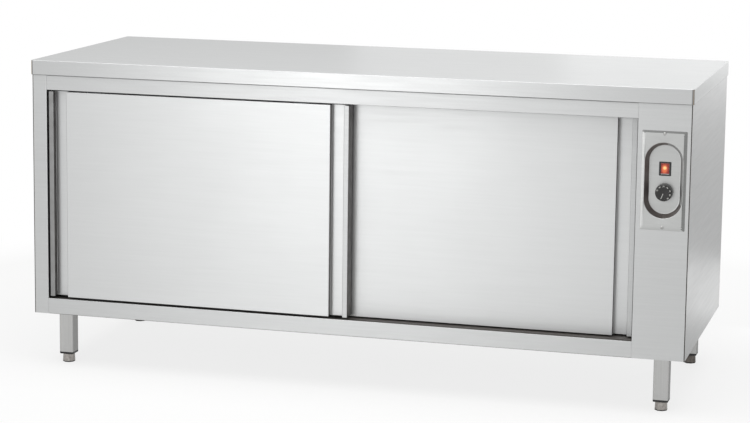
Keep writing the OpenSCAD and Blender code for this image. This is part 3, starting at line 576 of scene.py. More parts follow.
def tray(
    half_w: float, half_h: float, low: float, high: float, sheet: float,
    corner: float, fold: float, steps: int = 4,
) -> list[Ring]:
    """Makes the rings of a sheet that is folded down on all four sides.

    Args:
        half_w: Half the tray's width.
        half_h: Half its height.
        low: The level of its open side.
        high: The level of its flat.
        sheet: The sheet's thickness.
        corner: The radius of its corners.
        fold: The radius of its folds.
        steps: How many edges a fold gets.

    Returns:
        The rings in order, from inside to outside.
    """
    inner = rounded_box(half_w - sheet, half_h - sheet, 0.8)
    return [(inner, high - sheet), (inner, low), (rounded_box(half_w, half_h, corner), low),
            *rolled_edge(half_w, half_h, corner, high, fold, steps)]


# ---- Mesh work ----


def baked(obj: Object) -> bpy.types.Mesh:
    """Returns a plain mesh of an object with its modifiers applied."""
    bpy.context.view_layer.update()
    depsgraph = bpy.context.evaluated_depsgraph_get()
    return bpy.data.meshes.new_from_object(
        obj.evaluated_get(depsgraph), preserve_all_data_layers=True, depsgraph=depsgraph
    )


def settle(obj: Object) -> None:
    """Turns an object's live modifiers into its mesh and removes them."""
    mesh, old = baked(obj), obj.data
    obj.modifiers.clear()
    obj.data = mesh
    bpy.data.meshes.remove(old)


def bevel(obj: Object, width_mm: float, steps: int, sharp: float) -> None:
    """Adds a live bevel on the edges that are sharper than an angle in degrees."""
    edge = obj.modifiers.new("edge", "BEVEL")
    edge.width = width_mm * MM
    edge.segments = steps
    edge.limit_method = "ANGLE"
    edge.angle_limit = math.radians(sharp)


def smooth(obj: Object, bevel_mm: float = 0.0, steps: int = 2, sharp: float = 32.0) -> None:
    """Rounds an object's hard edges and shades it so that flat faces stay flat.

    Args:
        obj: The object.
        bevel_mm: How wide the rounding is, or 0 for none.
        steps: How many edges the rounding gets.
        sharp: The angle in degrees from which an edge is hard.
    """
    obj.data.shade_smooth()
    if bevel_mm > 0:
        bevel(obj, bevel_mm, steps, sharp)
        settle(obj)
        obj.data.shade_smooth()
    obj.data.set_sharp_from_angle(angle=math.radians(sharp))
    weighted = obj.modifiers.new("flat", "WEIGHTED_NORMAL")
    weighted.keep_sharp = True
    weighted.weight = 60
    settle(obj)


def fit(
    obj: Object, finish: Finish | Sequence[Finish], body: str, slot: str, *replaced: str
) -> None:
    """Gives a piece its finish and its body, and hides the CAD nodes that it stands for.

    Args:
        obj: The piece.
        finish: One finish, or one for each material number of its faces.
        body: The body that it rides on.
        slot: The record's material slot; not used.
        *replaced: The CAD nodes that it stands for.
    """
    finishes = [finish] if isinstance(finish, Finish) else list(finish)
    numbers = [face.material_index for face in obj.data.polygons]
    obj.data.materials.clear()  # this sets every face back to the first finish
    for each in finishes:
        obj.data.materials.append(each.material())
    obj.data.polygons.foreach_set("material_index", numbers)
    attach(obj, body)
    if replaced:
        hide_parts(*replaced)
    log.info("%s: %d faces, %s, rides on %s", obj.name, len(obj.data.polygons),
             finishes[0].name, body)


def paint(obj: Object, number: int, chosen: Callable[[Vector, Vector], bool]) -> None:
    """Gives the chosen faces of a piece another of its finishes.

    Args:
        obj: The piece.
        number: The finish's place in the piece's list.
        chosen: Says whether a face is meant, from its middle in millimetres and its normal.
    """
    for face in obj.data.polygons:
        if chosen(face.center / MM, face.normal):
            face.material_index = number


def carve(obj: Object, cutter: Object) -> None:
    """Cuts one object out of another and throws the cutter away."""
    cut = obj.modifiers.new("cut", "BOOLEAN")
    cut.operation = "DIFFERENCE"
    cut.solver = "EXACT"
    cut.object = cutter
    settle(obj)
    mesh = cutter.data
    bpy.data.objects.remove(cutter)
    bpy.data.meshes.remove(mesh)


class Workpiece:
    """A mesh in the making, until it is finished as a piece."""

    def __init__(self, name: str) -> None:
        """Starts an empty workpiece."""
        self.name = name
        self.bm = bmesh.new()

    def ring(
        self, plane: Plane, outline: Iterable[Point], level: float
    ) -> list[bmesh.types.BMVert]:
        """Adds the points of one outline at a level over a plane, and returns them."""
        return [self.bm.verts.new(plane.at(a, b, level) * MM) for a, b in outline]

    def wrap(self, low: Sequence, high: Sequence, closed: bool = True) -> None:
        """Joins the points of two rings by faces."""
        for i in range(len(low) if closed else len(low) - 1):
            j = (i + 1) % len(low)
            self.bm.faces.new((low[i], low[j], high[j], high[i]))

    def cap(self, first: Sequence, last: Sequence) -> None:
        """Closes the first and the last ring, each by a face."""
        self.bm.faces.new(list(reversed(first)))
        self.bm.faces.new(last)

    def loft(self, plane: Plane, rings: Sequence[Ring], capped: bool = True) -> "Workpiece":
        """Joins outlines of the same number of points, one after another.

        Args:
            plane: Where the outlines are drawn.
            rings: Each outline and its level.
            capped: Whether the first and the last outline are closed by a face.

        Returns:
            The workpiece itself.
        """
        made = [self.ring(plane, outline, level) for outline, level in rings]
        for low, high in zip(made, made[1:]):
            self.wrap(low, high)
        if capped:
            self.cap(made[0], made[-1])
        return self

    def prism(
        self, plane: Plane, outline: list[Point], start: float, end: float
    ) -> "Workpiece":
        """Adds a prism over a closed outline."""
        return self.loft(plane, [(outline, start), (outline, end)])

    def block(self, low: Sequence[float], high: Sequence[float]) -> "Workpiece":
        """Adds a box between two corners."""
        outline = [(low[0], low[1]), (high[0], low[1]), (high[0], high[1]), (low[0], high[1])]
        return self.prism(plan(), outline, low[2], high[2])

    def spindle(
        self, plane: Plane, profile: Sequence[Point], count: int = 48
    ) -> "Workpiece":
        """Adds a turned solid from its radii and levels."""
        return self.loft(plane, [(circle(radius, count), level) for radius, level in profile])

    def object(self, outward: bool = True) -> Object:
        """Makes the workpiece an object, with its faces pointing outwards."""
        if outward:
            bmesh.ops.recalc_face_normals(self.bm, faces=self.bm.faces)
        mesh = bpy.data.meshes.new(self.name)
        self.bm.to_mesh(mesh)
        self.bm.free()
        obj = bpy.data.objects.new(self.name, mesh)
        bpy.context.scene.collection.objects.link(obj)
        return obj

    def finish(
        self, finish: Finish, body: str, slot: str, *replaced: str,
        bevel_mm: float = 0.0, steps: int = 2, sharp: float = 32.0,
    ) -> None:
        """Makes the workpiece a smooth piece of one finish: see smooth and fit."""
        made = self.object()
        smooth(made, bevel_mm, steps, sharp)
        fit(made, finish, body, slot, *replaced)


# ---- Geometry Nodes ----


class NodeTool:
    """A Geometry Nodes tree with named inputs, run once on an object and baked."""

    SOCKETS = {int: "NodeSocketInt", float: "NodeSocketFloat", tuple: "NodeSocketVector"}

    def __init__(self, name: str, inputs: dict[str, object]) -> None:
        """Starts the tree.

        Args:
            name: The tree's name.
            inputs: For each input, its default, or its socket type where it has none.
        """
        self.tree = bpy.data.node_groups.new(name, "GeometryNodeTree")
        face = self.tree.interface
        for way in ("INPUT", "OUTPUT"):
            face.new_socket("Geometry", in_out=way, socket_type="NodeSocketGeometry")
        for label, default in inputs.items():
            plain = isinstance(default, str)
            kind = default if plain else self.SOCKETS[type(default)]
            socket = face.new_socket(label, in_out="INPUT", socket_type=kind)
            if not plain:
                socket.default_value = default
        self.given = add_node(self.tree, "NodeGroupInput").outputs

    def add(
        self, kind: str, feeds: dict[str | int, object] | None = None, **settings: object
    ) -> Node:
        """Adds a node to the tree and returns it."""
        return add_node(self.tree, kind, feeds, **settings)

    def close(self, geometry: Node) -> "NodeTool":
        """Ends the tree, with real geometry and its material set, and returns the tool."""
        real = self.add("GeometryNodeRealizeInstances", {"Geometry": geometry})
        dressed = self.add("GeometryNodeSetMaterial",
                           {"Geometry": real, "Material": self.given["Material"]})
        self.add("NodeGroupOutput", {0: dressed})
        return self

    def cut(self, cutters: Node) -> "NodeTool":
        """Ends the tree with the geometry cut by cutters that are moved into place."""
        given = self.given
        placed = self.add("GeometryNodeTransform", {
            "Geometry": cutters, "Translation": given["Centre"], "Rotation": given["Turn"]})
        solid = self.add("GeometryNodeRealizeInstances", {"Geometry": placed})
        return self.close(self.add(
            "GeometryNodeMeshBoolean", {"Mesh 1": given["Geometry"], "Mesh 2": solid},
            operation="DIFFERENCE",
        ))

    def run(self, obj: Object, values: dict[str, object]) -> None:
        """Runs the tree on an object with the given values, and keeps a plain mesh."""
        modifier = obj.modifiers.new(self.tree.name, "NODES")
        modifier.node_group = self.tree
        for item in self.tree.interface.items_tree:
            if item.item_type == "SOCKET" and item.in_out == "INPUT" and item.name in values:
                modifier[item.identifier] = values[item.name]
        settle(obj)
        # The piece keeps one material here: fit gives it its own list later
        obj.data.polygons.foreach_set("material_index", [0] * len(obj.data.polygons))


def punched_grid() -> NodeTool:
    """Builds the tool that punches rows of round-ended holes through a sheet.

    Returns:
        A tool whose inputs are the number of holes and their spacing each way, the
        shift of every other row, the reach of the pattern, and a hole's size.
    """
    tool = NodeTool("punched_grid", {
        "Columns": 1, "Rows": 1, "Column Pitch": 0.01, "Row Pitch": 0.01, "Row Shift": 0.0,
        "Reach": 10.0, "Hole Width": 0.01, "Hole Height": 0.01, "Hole Radius": 0.001,
        "Depth": 0.01, "Centre": (0, 0, 0), "Turn": "NodeSocketRotation",
        "Material": "NodeSocketMaterial",
    })
    add, given = tool.add, tool.given

    def centring(count: Socket, pitch: Socket) -> Node:
        """Returns the shift that brings the middle of a row to the origin."""
        gaps = add("ShaderNodeMath", {0: count, 1: -1.0}, operation="ADD")
        span = add("ShaderNodeMath", {0: gaps, 1: pitch}, operation="MULTIPLY")
        return add("ShaderNodeMath", {0: span, 1: -0.5}, operation="MULTIPLY")

    step = add("ShaderNodeCombineXYZ", {"X": given["Column Pitch"]})
    line = add("GeometryNodeMeshLine", {"Count": given["Columns"], "Offset": step},
               mode="OFFSET")
    rise = add("ShaderNodeCombineXYZ", {"Y": given["Row Pitch"]})
    rows = add("GeometryNodeMeshLine", {"Count": given["Rows"], "Offset": rise}, mode="OFFSET")
    # Every other row moves sideways
    odd = add("ShaderNodeMath", {0: add("GeometryNodeInputIndex"), 1: 2.0}, operation="MODULO")
    shift = add("ShaderNodeMath", {0: odd, 1: given["Row Shift"]}, operation="MULTIPLY")
    sideways = add("ShaderNodeCombineXYZ", {"X": shift})
    moved = add("GeometryNodeSetPosition", {"Geometry": rows, "Offset": sideways})
    grid = add("GeometryNodeInstanceOnPoints", {"Points": moved, "Instance": line})
    spots = add("GeometryNodeRealizeInstances", {"Geometry": grid})
    # The pattern is centred on its own middle and trimmed to its reach
    back = add("ShaderNodeCombineXYZ", {
        "X": centring(given["Columns"], given["Column Pitch"]),
        "Y": centring(given["Rows"], given["Row Pitch"])})
    centred = add("GeometryNodeTransform", {"Geometry": spots, "Translation": back})
    away = add("ShaderNodeVectorMath", {0: add("GeometryNodeInputPosition")},
               operation="LENGTH").outputs["Value"]
    outside = add("FunctionNodeCompare", {"A": away, "B": given["Reach"]},
                  data_type="FLOAT", operation="GREATER_THAN")
    kept = add("GeometryNodeDeleteGeometry", {"Geometry": centred, "Selection": outside},
               domain="POINT")
    # One punch: a rounded outline swept through the sheet
    shape = add("GeometryNodeCurvePrimitiveQuadrilateral",
                {"Width": given["Hole Width"], "Height": given["Hole Height"]})
    punch = add("GeometryNodeFilletCurve",
                {"Curve": shape, "Radius": given["Hole Radius"], "Count": 5}, mode="POLY")
    face = add("GeometryNodeFillCurve", {"Curve": punch}, mode="NGONS")
    down = add("ShaderNodeMath", {0: given["Depth"], 1: -0.5}, operation="MULTIPLY")
    low = add("ShaderNodeCombineXYZ", {"Z": down})
    lower = add("GeometryNodeTransform", {"Geometry": face, "Translation": low})
    deep = add("ShaderNodeCombineXYZ", {"Z": given["Depth"]})
    raised = add("GeometryNodeExtrudeMesh",
                 {"Mesh": lower, "Offset": deep, "Individual": False})
    solid = add("GeometryNodeJoinGeometry", {"Geometry": raised})
    feed(solid, {"Geometry": add("GeometryNodeFlipFaces", {"Mesh": lower})})
    whole = add("GeometryNodeMergeByDistance", {"Geometry": solid, "Distance": 1e-6})
    return tool.cut(add("GeometryNodeInstanceOnPoints", {"Points": kept, "Instance": whole}))


def copies_in_line() -> NodeTool:
    """Builds the tool that repeats a part at even steps, and returns it."""
    tool = NodeTool("copies_in_line", {
        "Count": 2, "Step": (0, 0, 0), "Material": "NodeSocketMaterial"})
    line = tool.add("GeometryNodeMeshLine",
                    {"Count": tool.given["Count"], "Offset": tool.given["Step"]}, mode="OFFSET")
    return tool.close(tool.add("GeometryNodeInstanceOnPoints",
                               {"Points": line, "Instance": tool.given["Geometry"]}))


def fluted_edge() -> NodeTool:
    """Builds the tool that cuts even flutes round a turned part.

    Returns:
        A tool whose inputs are the number of flutes, the radius that they are
        centred on, a flute's own radius and length, and the part's centre.
    """
    tool = NodeTool("fluted_edge", {
        "Flutes": 24, "Ring Radius": 0.01, "Flute Radius": 0.001, "Length": 0.01,
        "Centre": (0, 0, 0), "Turn": "NodeSocketRotation", "Material": "NodeSocketMaterial",
    })
    given = tool.given
    ring = tool.add("GeometryNodeMeshCircle",
                    {"Vertices": given["Flutes"], "Radius": given["Ring Radius"]})
    flute = tool.add("GeometryNodeMeshCylinder", {
        "Vertices": 12, "Radius": given["Flute Radius"], "Depth": given["Length"]})
    return tool.cut(tool.add("GeometryNodeInstanceOnPoints",
                             {"Points": ring, "Instance": flute}))


@dataclass
class Toolbox:
    """The Geometry Nodes tools, each built once."""

    punch: NodeTool = field(default_factory=punched_grid)
    line: NodeTool = field(default_factory=copies_in_line)
    flutes: NodeTool = field(default_factory=fluted_edge)


# ---- Worktop ----


@dataclass
class Worktop:
    """Steel-clad worktop: a skin folded round a board."""

    width: float = 1800.0
    depth: float = 700.0
    bottom: float = 810.0
    top: float = 850.0
    sheet: float = 1.5
    lip: float = 25.0
    corner: float = 6.0
    fold: float = 1.6
    tighten: float = 0.6

    def build(self) -> None:
        """Makes the skin with rounded corners, folded edges and its lips underneath."""
        w, d = self.width / 2, self.depth / 2
        inner_w, inner_d = w - self.sheet, d - self.sheet
        lip_w, lip_d = w - self.lip, d - self.lip
        under = self.bottom + self.sheet
        piece = Workpiece("worktop_skin_folded").loft(plan(), [
            *boxes((inner_w, inner_d, 2.5, self.top - self.sheet),
                   (inner_w, inner_d, 2.5, under),
                   (lip_w, lip_d, 1.0, under), (lip_w, lip_d, 1.0, self.bottom)),
            *reversed(rolled_edge(w, d, self.corner, self.bottom, self.fold, up=-1,
                                  shrink=self.tighten)),
            *rolled_edge(w, d, self.corner, self.top, self.fold, shrink=self.tighten),
        ]).object()
        smooth(piece)
        # Painted shade: the vertical corners and the lower fold get the darker fold finish
        reach_x, reach_y = w - self.corner, d - self.corner
        paint(piece, 1, lambda at, n: abs(n.z) < 0.5 and abs(at.x) > reach_x
              and abs(at.y) > reach_y)
        paint(piece, 1, lambda at, n: at.z < self.bottom + self.fold and -0.97 < n.z < 0.2
              and max(abs(at.x) - w, abs(at.y) - d) > -self.fold)
        fit(piece, [Finishes.worktop, Finishes.fold], "cabinet", "worktop_steel",
            "worktop_skin")


# ---- Body ----


@dataclass
class Body:
    """Outer panels and the front frame round the door opening."""

    tools: Toolbox
    side: float = 897.0
    front: float = -346.0
    back: float = 348.0
    bottom: float = 150.0
    top: float = 810.0
    sheet: float = 1.2
    flange: float = 15.0
    open_left: float = -856.0
    open_right: float = 760.0
    open_bottom: float = 193.0
    open_top: float = 770.0
    sill: float = 176.8
    pocket: float = -258.0
    hem: float = 12.0
    rolled: float = 2.4
    rail_flange: float = 50.0
    plate_x: float = 828.5
    plate_z: float = 614.5
    cutout_radius: float = 51.0
    cutout_half: float = 48.5
    screw_heights: Point = (494.5, 734.5)
    screw_hole: float = 2.1
    vent_size: Point = (70.0, 5.0)
    vent_count: int = 7
    vent_pitch: float = 16.0
    vent_top: float = 742.0

    def build(self) -> None:
        """Makes the panels, the frame and the back."""
        self.side_panel("left", -1)
        self.side_panel("right", 1)
        self.stile()
        self.column()
        self.rails()
        self.back_panel()

    def side_panel(self, hand: str, way: int) -> None:
        """Makes a side panel: a sheet folded inwards at its back, with a top flange."""
        s, x = self.sheet, self.side
        outline = rounded([
            (x - s, self.front + s, 0.3), (x, self.front + s, 0.3), (x, self.back, 2.2),
            (x - s - self.flange, self.back, 0.3), (x - s - self.flange, self.back - s, 0.3),
            (x - s, self.back - s, 1.0),
        ])
        piece = Workpiece(f"{hand}_side_panel_folded").prism(
            plan(), [(way * a, b) for a, b in outline], self.bottom, self.top)
        inner, outer = sorted((way * (x - s - self.flange), way * (x - s)))
        piece.block((inner, self.front + s, self.top - s), (outer, self.back - s, self.top))
        piece.finish(Finishes.side, "cabinet", "body_steel", f"{hand}_side_panel",
                     bevel_mm=0.3)

    def upright(self, name: str, outer: float, inner: float, fold: float) -> Object:
        """Makes an upright of the frame: its face, folded back along the opening.

        Args:
            name: The piece's name.
            outer: Where its face ends at the cabinet's side.
            inner: Where it folds back along the door opening.
            fold: The radius of that fold.

        Returns:
            The upright.
        """
        s = self.sheet
        way = 1 if outer > inner else -1
        outline = rounded([
            (outer - way * self.rolled, self.front, 0.5), (outer, self.front + 0.6, 0.4),
            (outer, self.front + s, 0.1), (inner + way * s, self.front + s, 0.6),
            (inner + way * s, self.pocket, 0.2), (inner, self.pocket, 0.2),
            (inner, self.front, fold),
        ], steps=4)
        # The part behind the face starts over the sill
        feet = [self.bottom if b < self.front + 2.5 * s else self.sill for _, b in outline]
        piece = Workpiece(name)
        low = [piece.bm.verts.new(Vector((a, b, z)) * MM) for (a, b), z in zip(outline, feet)]
        high = piece.ring(plan(), outline, self.top)
        piece.wrap(low, high)
        piece.cap(low, high)
        return piece.object()

    def fit_upright(self, made: Object, node: str) -> None:
        """Smooths and fits an upright, with painted shade on its rolled corner by the side."""
        smooth(made)
        # Painted shade: the rolled corner by the side gets the darkest finish
        paint(made, 1, lambda at, n: abs(at.x) > self.side - self.rolled - 0.1
              and n.y < -0.2 and abs(n.x) > 0.12)
        fit(made, [Finishes.front, Finishes.groove], "cabinet", "frame_steel", node)

    def stile(self) -> None:
        """Makes the stile at the left of the opening."""
        made = self.upright("left_stile_folded", -self.side, self.open_left, 1.8)
        self.fit_upright(made, "left_stile")

    def column(self) -> None:
        """Makes the control column, with the cut-out for the recess and two screw holes."""
        made = self.upright("control_column_folded", self.side, self.open_right, 0.6)
        r, tall = self.cutout_radius, self.cutout_radius + self.cutout_half
        cutter = Workpiece("column_cutter").prism(
            elevation(self.plate_x, self.front, self.plate_z), rounded_box(r, tall, r, 12), -3, 3)
        for z in self.screw_heights:
            cutter.prism(elevation(self.plate_x, self.front, z),
                         circle(self.screw_hole, 16), -3, 3)
        carve(made, cutter.object())
        self.fit_upright(made, "control_column")

    def rails(self) -> None:
        """Makes the rails over and under the doors, each with a folded hem."""
        f, s = self.front, self.sheet
        span = (self.open_left, self.open_right)
        over = rounded([
            (f + 2 * s, self.open_top, 1.1), (f, self.open_top, 1.1), (f, self.top, 2.0),
            (f + self.rail_flange, self.top, 0.2), (f + self.rail_flange, self.top - s, 0.2),
            (f + s, self.top - s, 0.8), (f + s, self.open_top + self.hem, 0),
            (f + 2 * s, self.open_top + self.hem, 0.3),
        ], steps=4)
        made = Workpiece("top_rail_folded").prism(section(), over, *span).object()
        smooth(made, 0.25)
        # Painted shade: a dark line on the rail's lower fold
        paint(made, 1, lambda at, n: at.z < self.open_top + 1.2 and n.z < -0.3)
        fit(made, [Finishes.front, Finishes.fold], "cabinet", "frame_steel", "top_rail")
        under = rounded([
            (f, self.bottom, 1.1), (f, self.open_bottom, 1.1), (f + 2 * s, self.open_bottom, 1.1),
            (f + 2 * s, self.open_bottom - self.hem, 0.3), (f + s, self.open_bottom - self.hem, 0),
            (f + s, self.bottom, 0.05),
        ], steps=4)
        made = Workpiece("bottom_rail_folded").prism(section(), under, *span).object()
        smooth(made)
        # Painted shade: the rail's down-facing lower edge gets the darkest finish
        paint(made, 1, lambda at, n: at.z < self.bottom + 1.2 and n.z < -0.1)
        fit(made, [Finishes.front, Finishes.groove], "cabinet", "frame_steel", "bottom_rail")

    def back_panel(self) -> None:
        """Makes the back panel with its row of vents behind the controls."""
        x, s = self.side - self.sheet, self.sheet
        y = self.back - 2 * s
        made = Workpiece("back_panel_vented").block(
            (-x, y, self.bottom + s), (x, y + s, self.top - s)).object()
        width, height = self.vent_size
        middle = self.vent_top - height / 2 - (self.vent_count - 1) * self.vent_pitch / 2
        self.tools.punch.run(made, {
            "Columns": 1, "Rows": self.vent_count, "Row Pitch": self.vent_pitch * MM,
            "Hole Width": width * MM, "Hole Height": height * MM,
            "Hole Radius": 0.48 * height * MM, "Depth": 6 * MM,
            "Centre": (self.plate_x * MM, (y + s / 2) * MM, middle * MM),
            "Turn": (QUARTER, 0, 0), "Material": Finishes.side.material(),
        })
        smooth(made)
        fit(made, Finishes.side, "cabinet", "body_steel", "back_panel")


# ---- Doors ----


@dataclass
class Door:
    """Sliding door: a front tray with two grip channels, and a back tray set into it."""

    hand: str
    left: float
    front: float
    width: float = 850.0
    bottom: float = 199.0
    top: float = 766.0
    depth: float = 36.0
    sheet: float = 1.2
    lip: float = 14.0
    grip: float = 37.0
    grip_depth: float = 20.0
    undercut: float = 2.0
    rim: float = 8.0
    end_fold: float = 1.6
    mouth_fold: float = 1.5
    floor_fold: float = 1.2
    rim_fold: float = 1.4

    def build(self) -> None:
        """Makes the door's two sheets."""
        self.front_sheet()
        self.back_sheet()

    def half_outline(self) -> list[Triple]:
        """Returns the front sheet's corners from its left end to the end of its grip."""
        lip, grip, under = self.lip, self.grip, self.undercut
        return [
            (0, self.depth, 0), (0, 0, self.end_fold), (lip, 0, self.mouth_fold),
            (lip - under, self.grip_depth, self.floor_fold),
            (lip + grip + under, self.grip_depth, self.floor_fold),
            (lip + grip, 0, self.mouth_fold),
        ]

    def front_sheet(self) -> None:
        """Makes the front tray with its channels and closed ends."""
        half = self.half_outline()
        corners = half + [(self.width - a, b, r) for a, b, r in reversed(half)]
        outline = rounded(corners, closed=False)
        place = plan(self.left, self.front)
        piece = Workpiece(f"{self.hand}_door_front_folded")
        low = piece.ring(place, outline, self.bottom)
        high = piece.ring(place, outline, self.top)
        piece.wrap(low, high, closed=False)
        piece.cap(low, high)
        made = piece.object()
        made.data.shade_smooth()
        bevel(made, 1.0, 3, 60)
        shell = made.modifiers.new("sheet", "SOLIDIFY")
        shell.thickness = self.sheet * MM
        shell.offset = -1.0
        settle(made)
        smooth(made)
        self.paint_fold_shade(made)
        fit(made, [Finishes.door, Finishes.groove, Finishes.bend, Finishes.fold, Finishes.hem],
            f"{self.hand}_door", "door_steel", f"{self.hand}_door_front")

    def paint_fold_shade(self, piece: Object) -> None:
        """Paints shade on the lips, the channel walls and the ends with darker finishes, darkest
        by the stile.
        """
        near, far = self.lip - self.undercut, self.lip + self.grip + self.undercut
        middle = self.left + self.width / 2

        def inward(at: Vector) -> float:
            """Returns how far a point is from the nearer end of the door."""
            return self.width / 2 - abs(at.x - middle)

        def wall(at: Vector, n: Vector) -> bool:
            """Says whether a face is on a channel's wall."""
            return (abs(n.x) > 0.6 and near - 0.5 < inward(at) < far + 0.5
                    and 1.0 < at.y - self.front < self.grip_depth)

        def lip(at: Vector, n: Vector) -> bool:
            """Says whether a face is on the front of a lip."""
            return n.y < -0.6 and inward(at) < self.lip and at.y < self.front + 1.5

        def in_stile_shade(at: Vector) -> bool:
            """Says whether a point is in the end by the stile, which gets the darkest painted
            shade.
            """
            return self.hand == "left" and at.x < middle

        # Painted shade: darker lips, channel walls and end faces, darker still in the end by the
        # stile
        paint(piece, 4, lip)
        paint(piece, 3, lambda at, n: lip(at, n) and in_stile_shade(at))
        paint(piece, 2, wall)
        paint(piece, 1, lambda at, n: wall(at, n) and in_stile_shade(at))
        paint(piece, 2, lambda at, n: abs(n.x) > 0.7 and inward(at) < 2.0)

    def back_sheet(self) -> None:
        """Makes the back tray, with its rim turned into the front one."""
        s = self.sheet
        place = Plane((self.left + self.width / 2, self.front + self.depth,
                       (self.top + self.bottom) / 2), (-1, 0, 0), (0, 0, 1), (0, 1, 0))
        Workpiece(f"{self.hand}_door_back_folded").loft(place, tray(
            self.width / 2 - s, (self.top - self.bottom) / 2 - s, -self.rim - s, 0.0, s,
            corner=1.6, fold=self.rim_fold, steps=3,
        )).finish(Finishes.mill, f"{self.hand}_door", "door_back_steel",
                  f"{self.hand}_door_back")


# ---- Control panel ----


@dataclass
class ControlPanel:
    """Pressed plate in the column, with its switch, dial knob and screws."""

    tools: Toolbox
    x: float = 828.5
    middle: float = 614.5
    width: float = 115.0
    height: float = 255.0
    front: float = -346.0
    thickness: float = 1.5
    recess_radius: float = 48.5
    recess_half: float = 48.5
    recess_depth: float = 25.0
    draft: float = 8.0
    switch_z: float = 641.5
    switch_w: float = 31.0
    switch_h: float = 36.0
    slot_w: float = 22.0
    slot_h: float = 29.0
    rocker_w: float = 21.0
    rocker_h: float = 26.0
    rocker_front: float = -9.0
    rocker_dish: float = 1.5
    rocker_tilt: float = 7.0
    rocker_pivot: float = -318.0
    pin_radius: float = 1.5
    pin_half: float = 13.0
    knob_z: float = 582.0
    knob_radius: float = 22.5
    knob_front: float = -342.0
    knob_back: float = -324.0
    flute_count: int = 36
    flute_radius: float = 1.1
    screw_heights: Point = (494.5, 734.5)
    numerals: tuple[str, ...] = ("30", "40", "50", "60", "70", "80", "90")
    numeral_size: float = 4.6
    numeral_ring: float = 0.76
    first_mark: float = 159.0
    mark_step: float = -34.6
    pointer: float = -111.0
    pointer_reach: Point = (0.08, 0.74)
    pointer_half: float = 0.65

    @property
    def face(self) -> float:
        """Where the plate's front face is."""
        return self.front - self.thickness

    @property
    def floor(self) -> float:
        """Where the recess's floor is."""
        return self.face + self.recess_depth

    def build(self) -> None:
        """Makes the plate and everything on it."""
        self.plate()
        self.screws()
        self.switch()
        self.rocker()
        self.knob()
        self.dial_marks()

    def plate(self) -> None:
        """Makes the pressed plate: soft outer edges, a rounded rim and the deep recess."""
        place = elevation(self.x, self.front, self.middle)
        w, h, t = self.width / 2, self.height / 2, self.thickness
        r = self.recess_radius
        tall = r + self.recess_half
        draft, deep = self.draft, self.recess_depth

        def track(inset: float, level: float) -> Ring:
            """Returns the recess's outline, drawn in by an inset."""
            return rounded_box(r - inset, tall - inset, r - inset, 10), level

        wall = draft / deep
        made = Workpiece("control_plate_pressed").loft(place, [
            # behind, from the recess's back to the plate's edge
            track(draft + 1.0, -deep), track(draft - 3.0 - t, -deep),
            track(draft - 5.0 - t, 3.0 - deep), track(0.9 - t, -0.2),
            # the soft pressed edge
            *boxes((w, h, 3.0, 0.0), (w - 0.4, h - 0.4, 3.0, 0.45),
                   (w - 2.5, h - 2.5, 4.0, 0.85), (w - 6.0, h - 6.0, 5.0, 1.32),
                   (w - 8.5, h - 8.5, 6.0, t), steps=10),
            # the rim rolls over into the wall, and the wall into the floor
            track(-1.6, t), track(-0.7, t - 0.25), track(0.0, t - 1.0),
            track(wall * 4, t - 4.0), track(draft - wall * 4, t - deep + 3.4),
            track(draft - 0.1, t - deep + 1.2), track(draft + 1.4, t - deep + 0.2),
            track(draft + 3.0, t - deep),
        ]).object()
        smooth(made, sharp=45)
        # Painted shade: dark left and bottom recess walls, and darker top and right edge bands on
        # the plate
        paint(made, 1, lambda at, n: n.y > -0.6 and (n.x > -0.1 or n.z > 0.3)
              and self.face + 1.0 < at.y < self.floor - 1.0
              and abs(at.x - self.x) < r + 0.5 and abs(at.z - self.middle) < tall + 0.5)
        paint(made, 2, lambda at, n: at.y < self.front and n.y < 0
              and (at.x - self.x > w - 8.4 or at.z - self.middle > h - 6.2))
        fit(made, [Finishes.plate, Finishes.drawn, Finishes.pressed], "cabinet",
            "plate_steel", "control_plate")

    def screws(self) -> None:
        """Makes the two domed screws with crossed slots, with the line tool."""
        low, high = self.screw_heights
        place = elevation(self.x, self.face, low)
        screw = Workpiece("plate_screws_domed").spindle(place, [
            (2.0, -9.8), (2.0, 0.0), (4.0, 0.0), (4.0, 0.5), (3.6, 1.1), (2.8, 1.7),
            (1.7, 2.05), (0.7, 2.2),
        ], 24).object()
        for u, v in ((1.6, 0.32), (0.32, 1.6)):
            slot = [(rounded_box(u * 0.55, v, 0.1, 1), 0.9), (rounded_box(u, v, 0.1, 1), 3.0)]
            carve(screw, Workpiece("slot_cutter").loft(place, slot).object())
        self.tools.line.run(screw, {
            "Count": 2, "Step": (0, 0, (high - low) * MM), "Material": Finishes.screw.material(),
        })
        smooth(screw, sharp=40)
        # Painted shadow: the right and lower side of each head is darker
        paint(screw, 1, lambda at, n: at.y > self.face - 1.2 and (n.x > 0.5 or n.z < -0.5))
        fit(screw, [Finishes.screw, Finishes.groove], "cabinet", "screw_steel",
            "plate_screws")

    def switch(self) -> None:
        """Makes the switch's frame and the body behind it, hollow for the rocker."""
        place = elevation(self.x, self.floor, self.switch_z)
        w, h = self.switch_w / 2, self.switch_h / 2
        a, b = self.slot_w / 2, self.slot_h / 2
        Workpiece("switch_housing_moulded").loft(place, boxes(
            (a, b, 0.8, -24.0), (a, b, 0.8, 1.2), (a + 0.5, b + 0.5, 1.0, 1.85),
            (a + 1.0, b + 1.0, 1.2, 2.0), (w - 0.9, h - 0.9, 1.4, 2.0),
            (w - 0.25, h - 0.25, 1.7, 1.7), (w, h, 1.8, 1.0), (w, h, 1.8, 0.0),
            (w - 2, h - 2, 0.8, 0.0), (w - 2, h - 2, 0.8, -26.0),
        )).finish(Finishes.abs_black, "cabinet", "black_switch_plastic", "switch_housing")

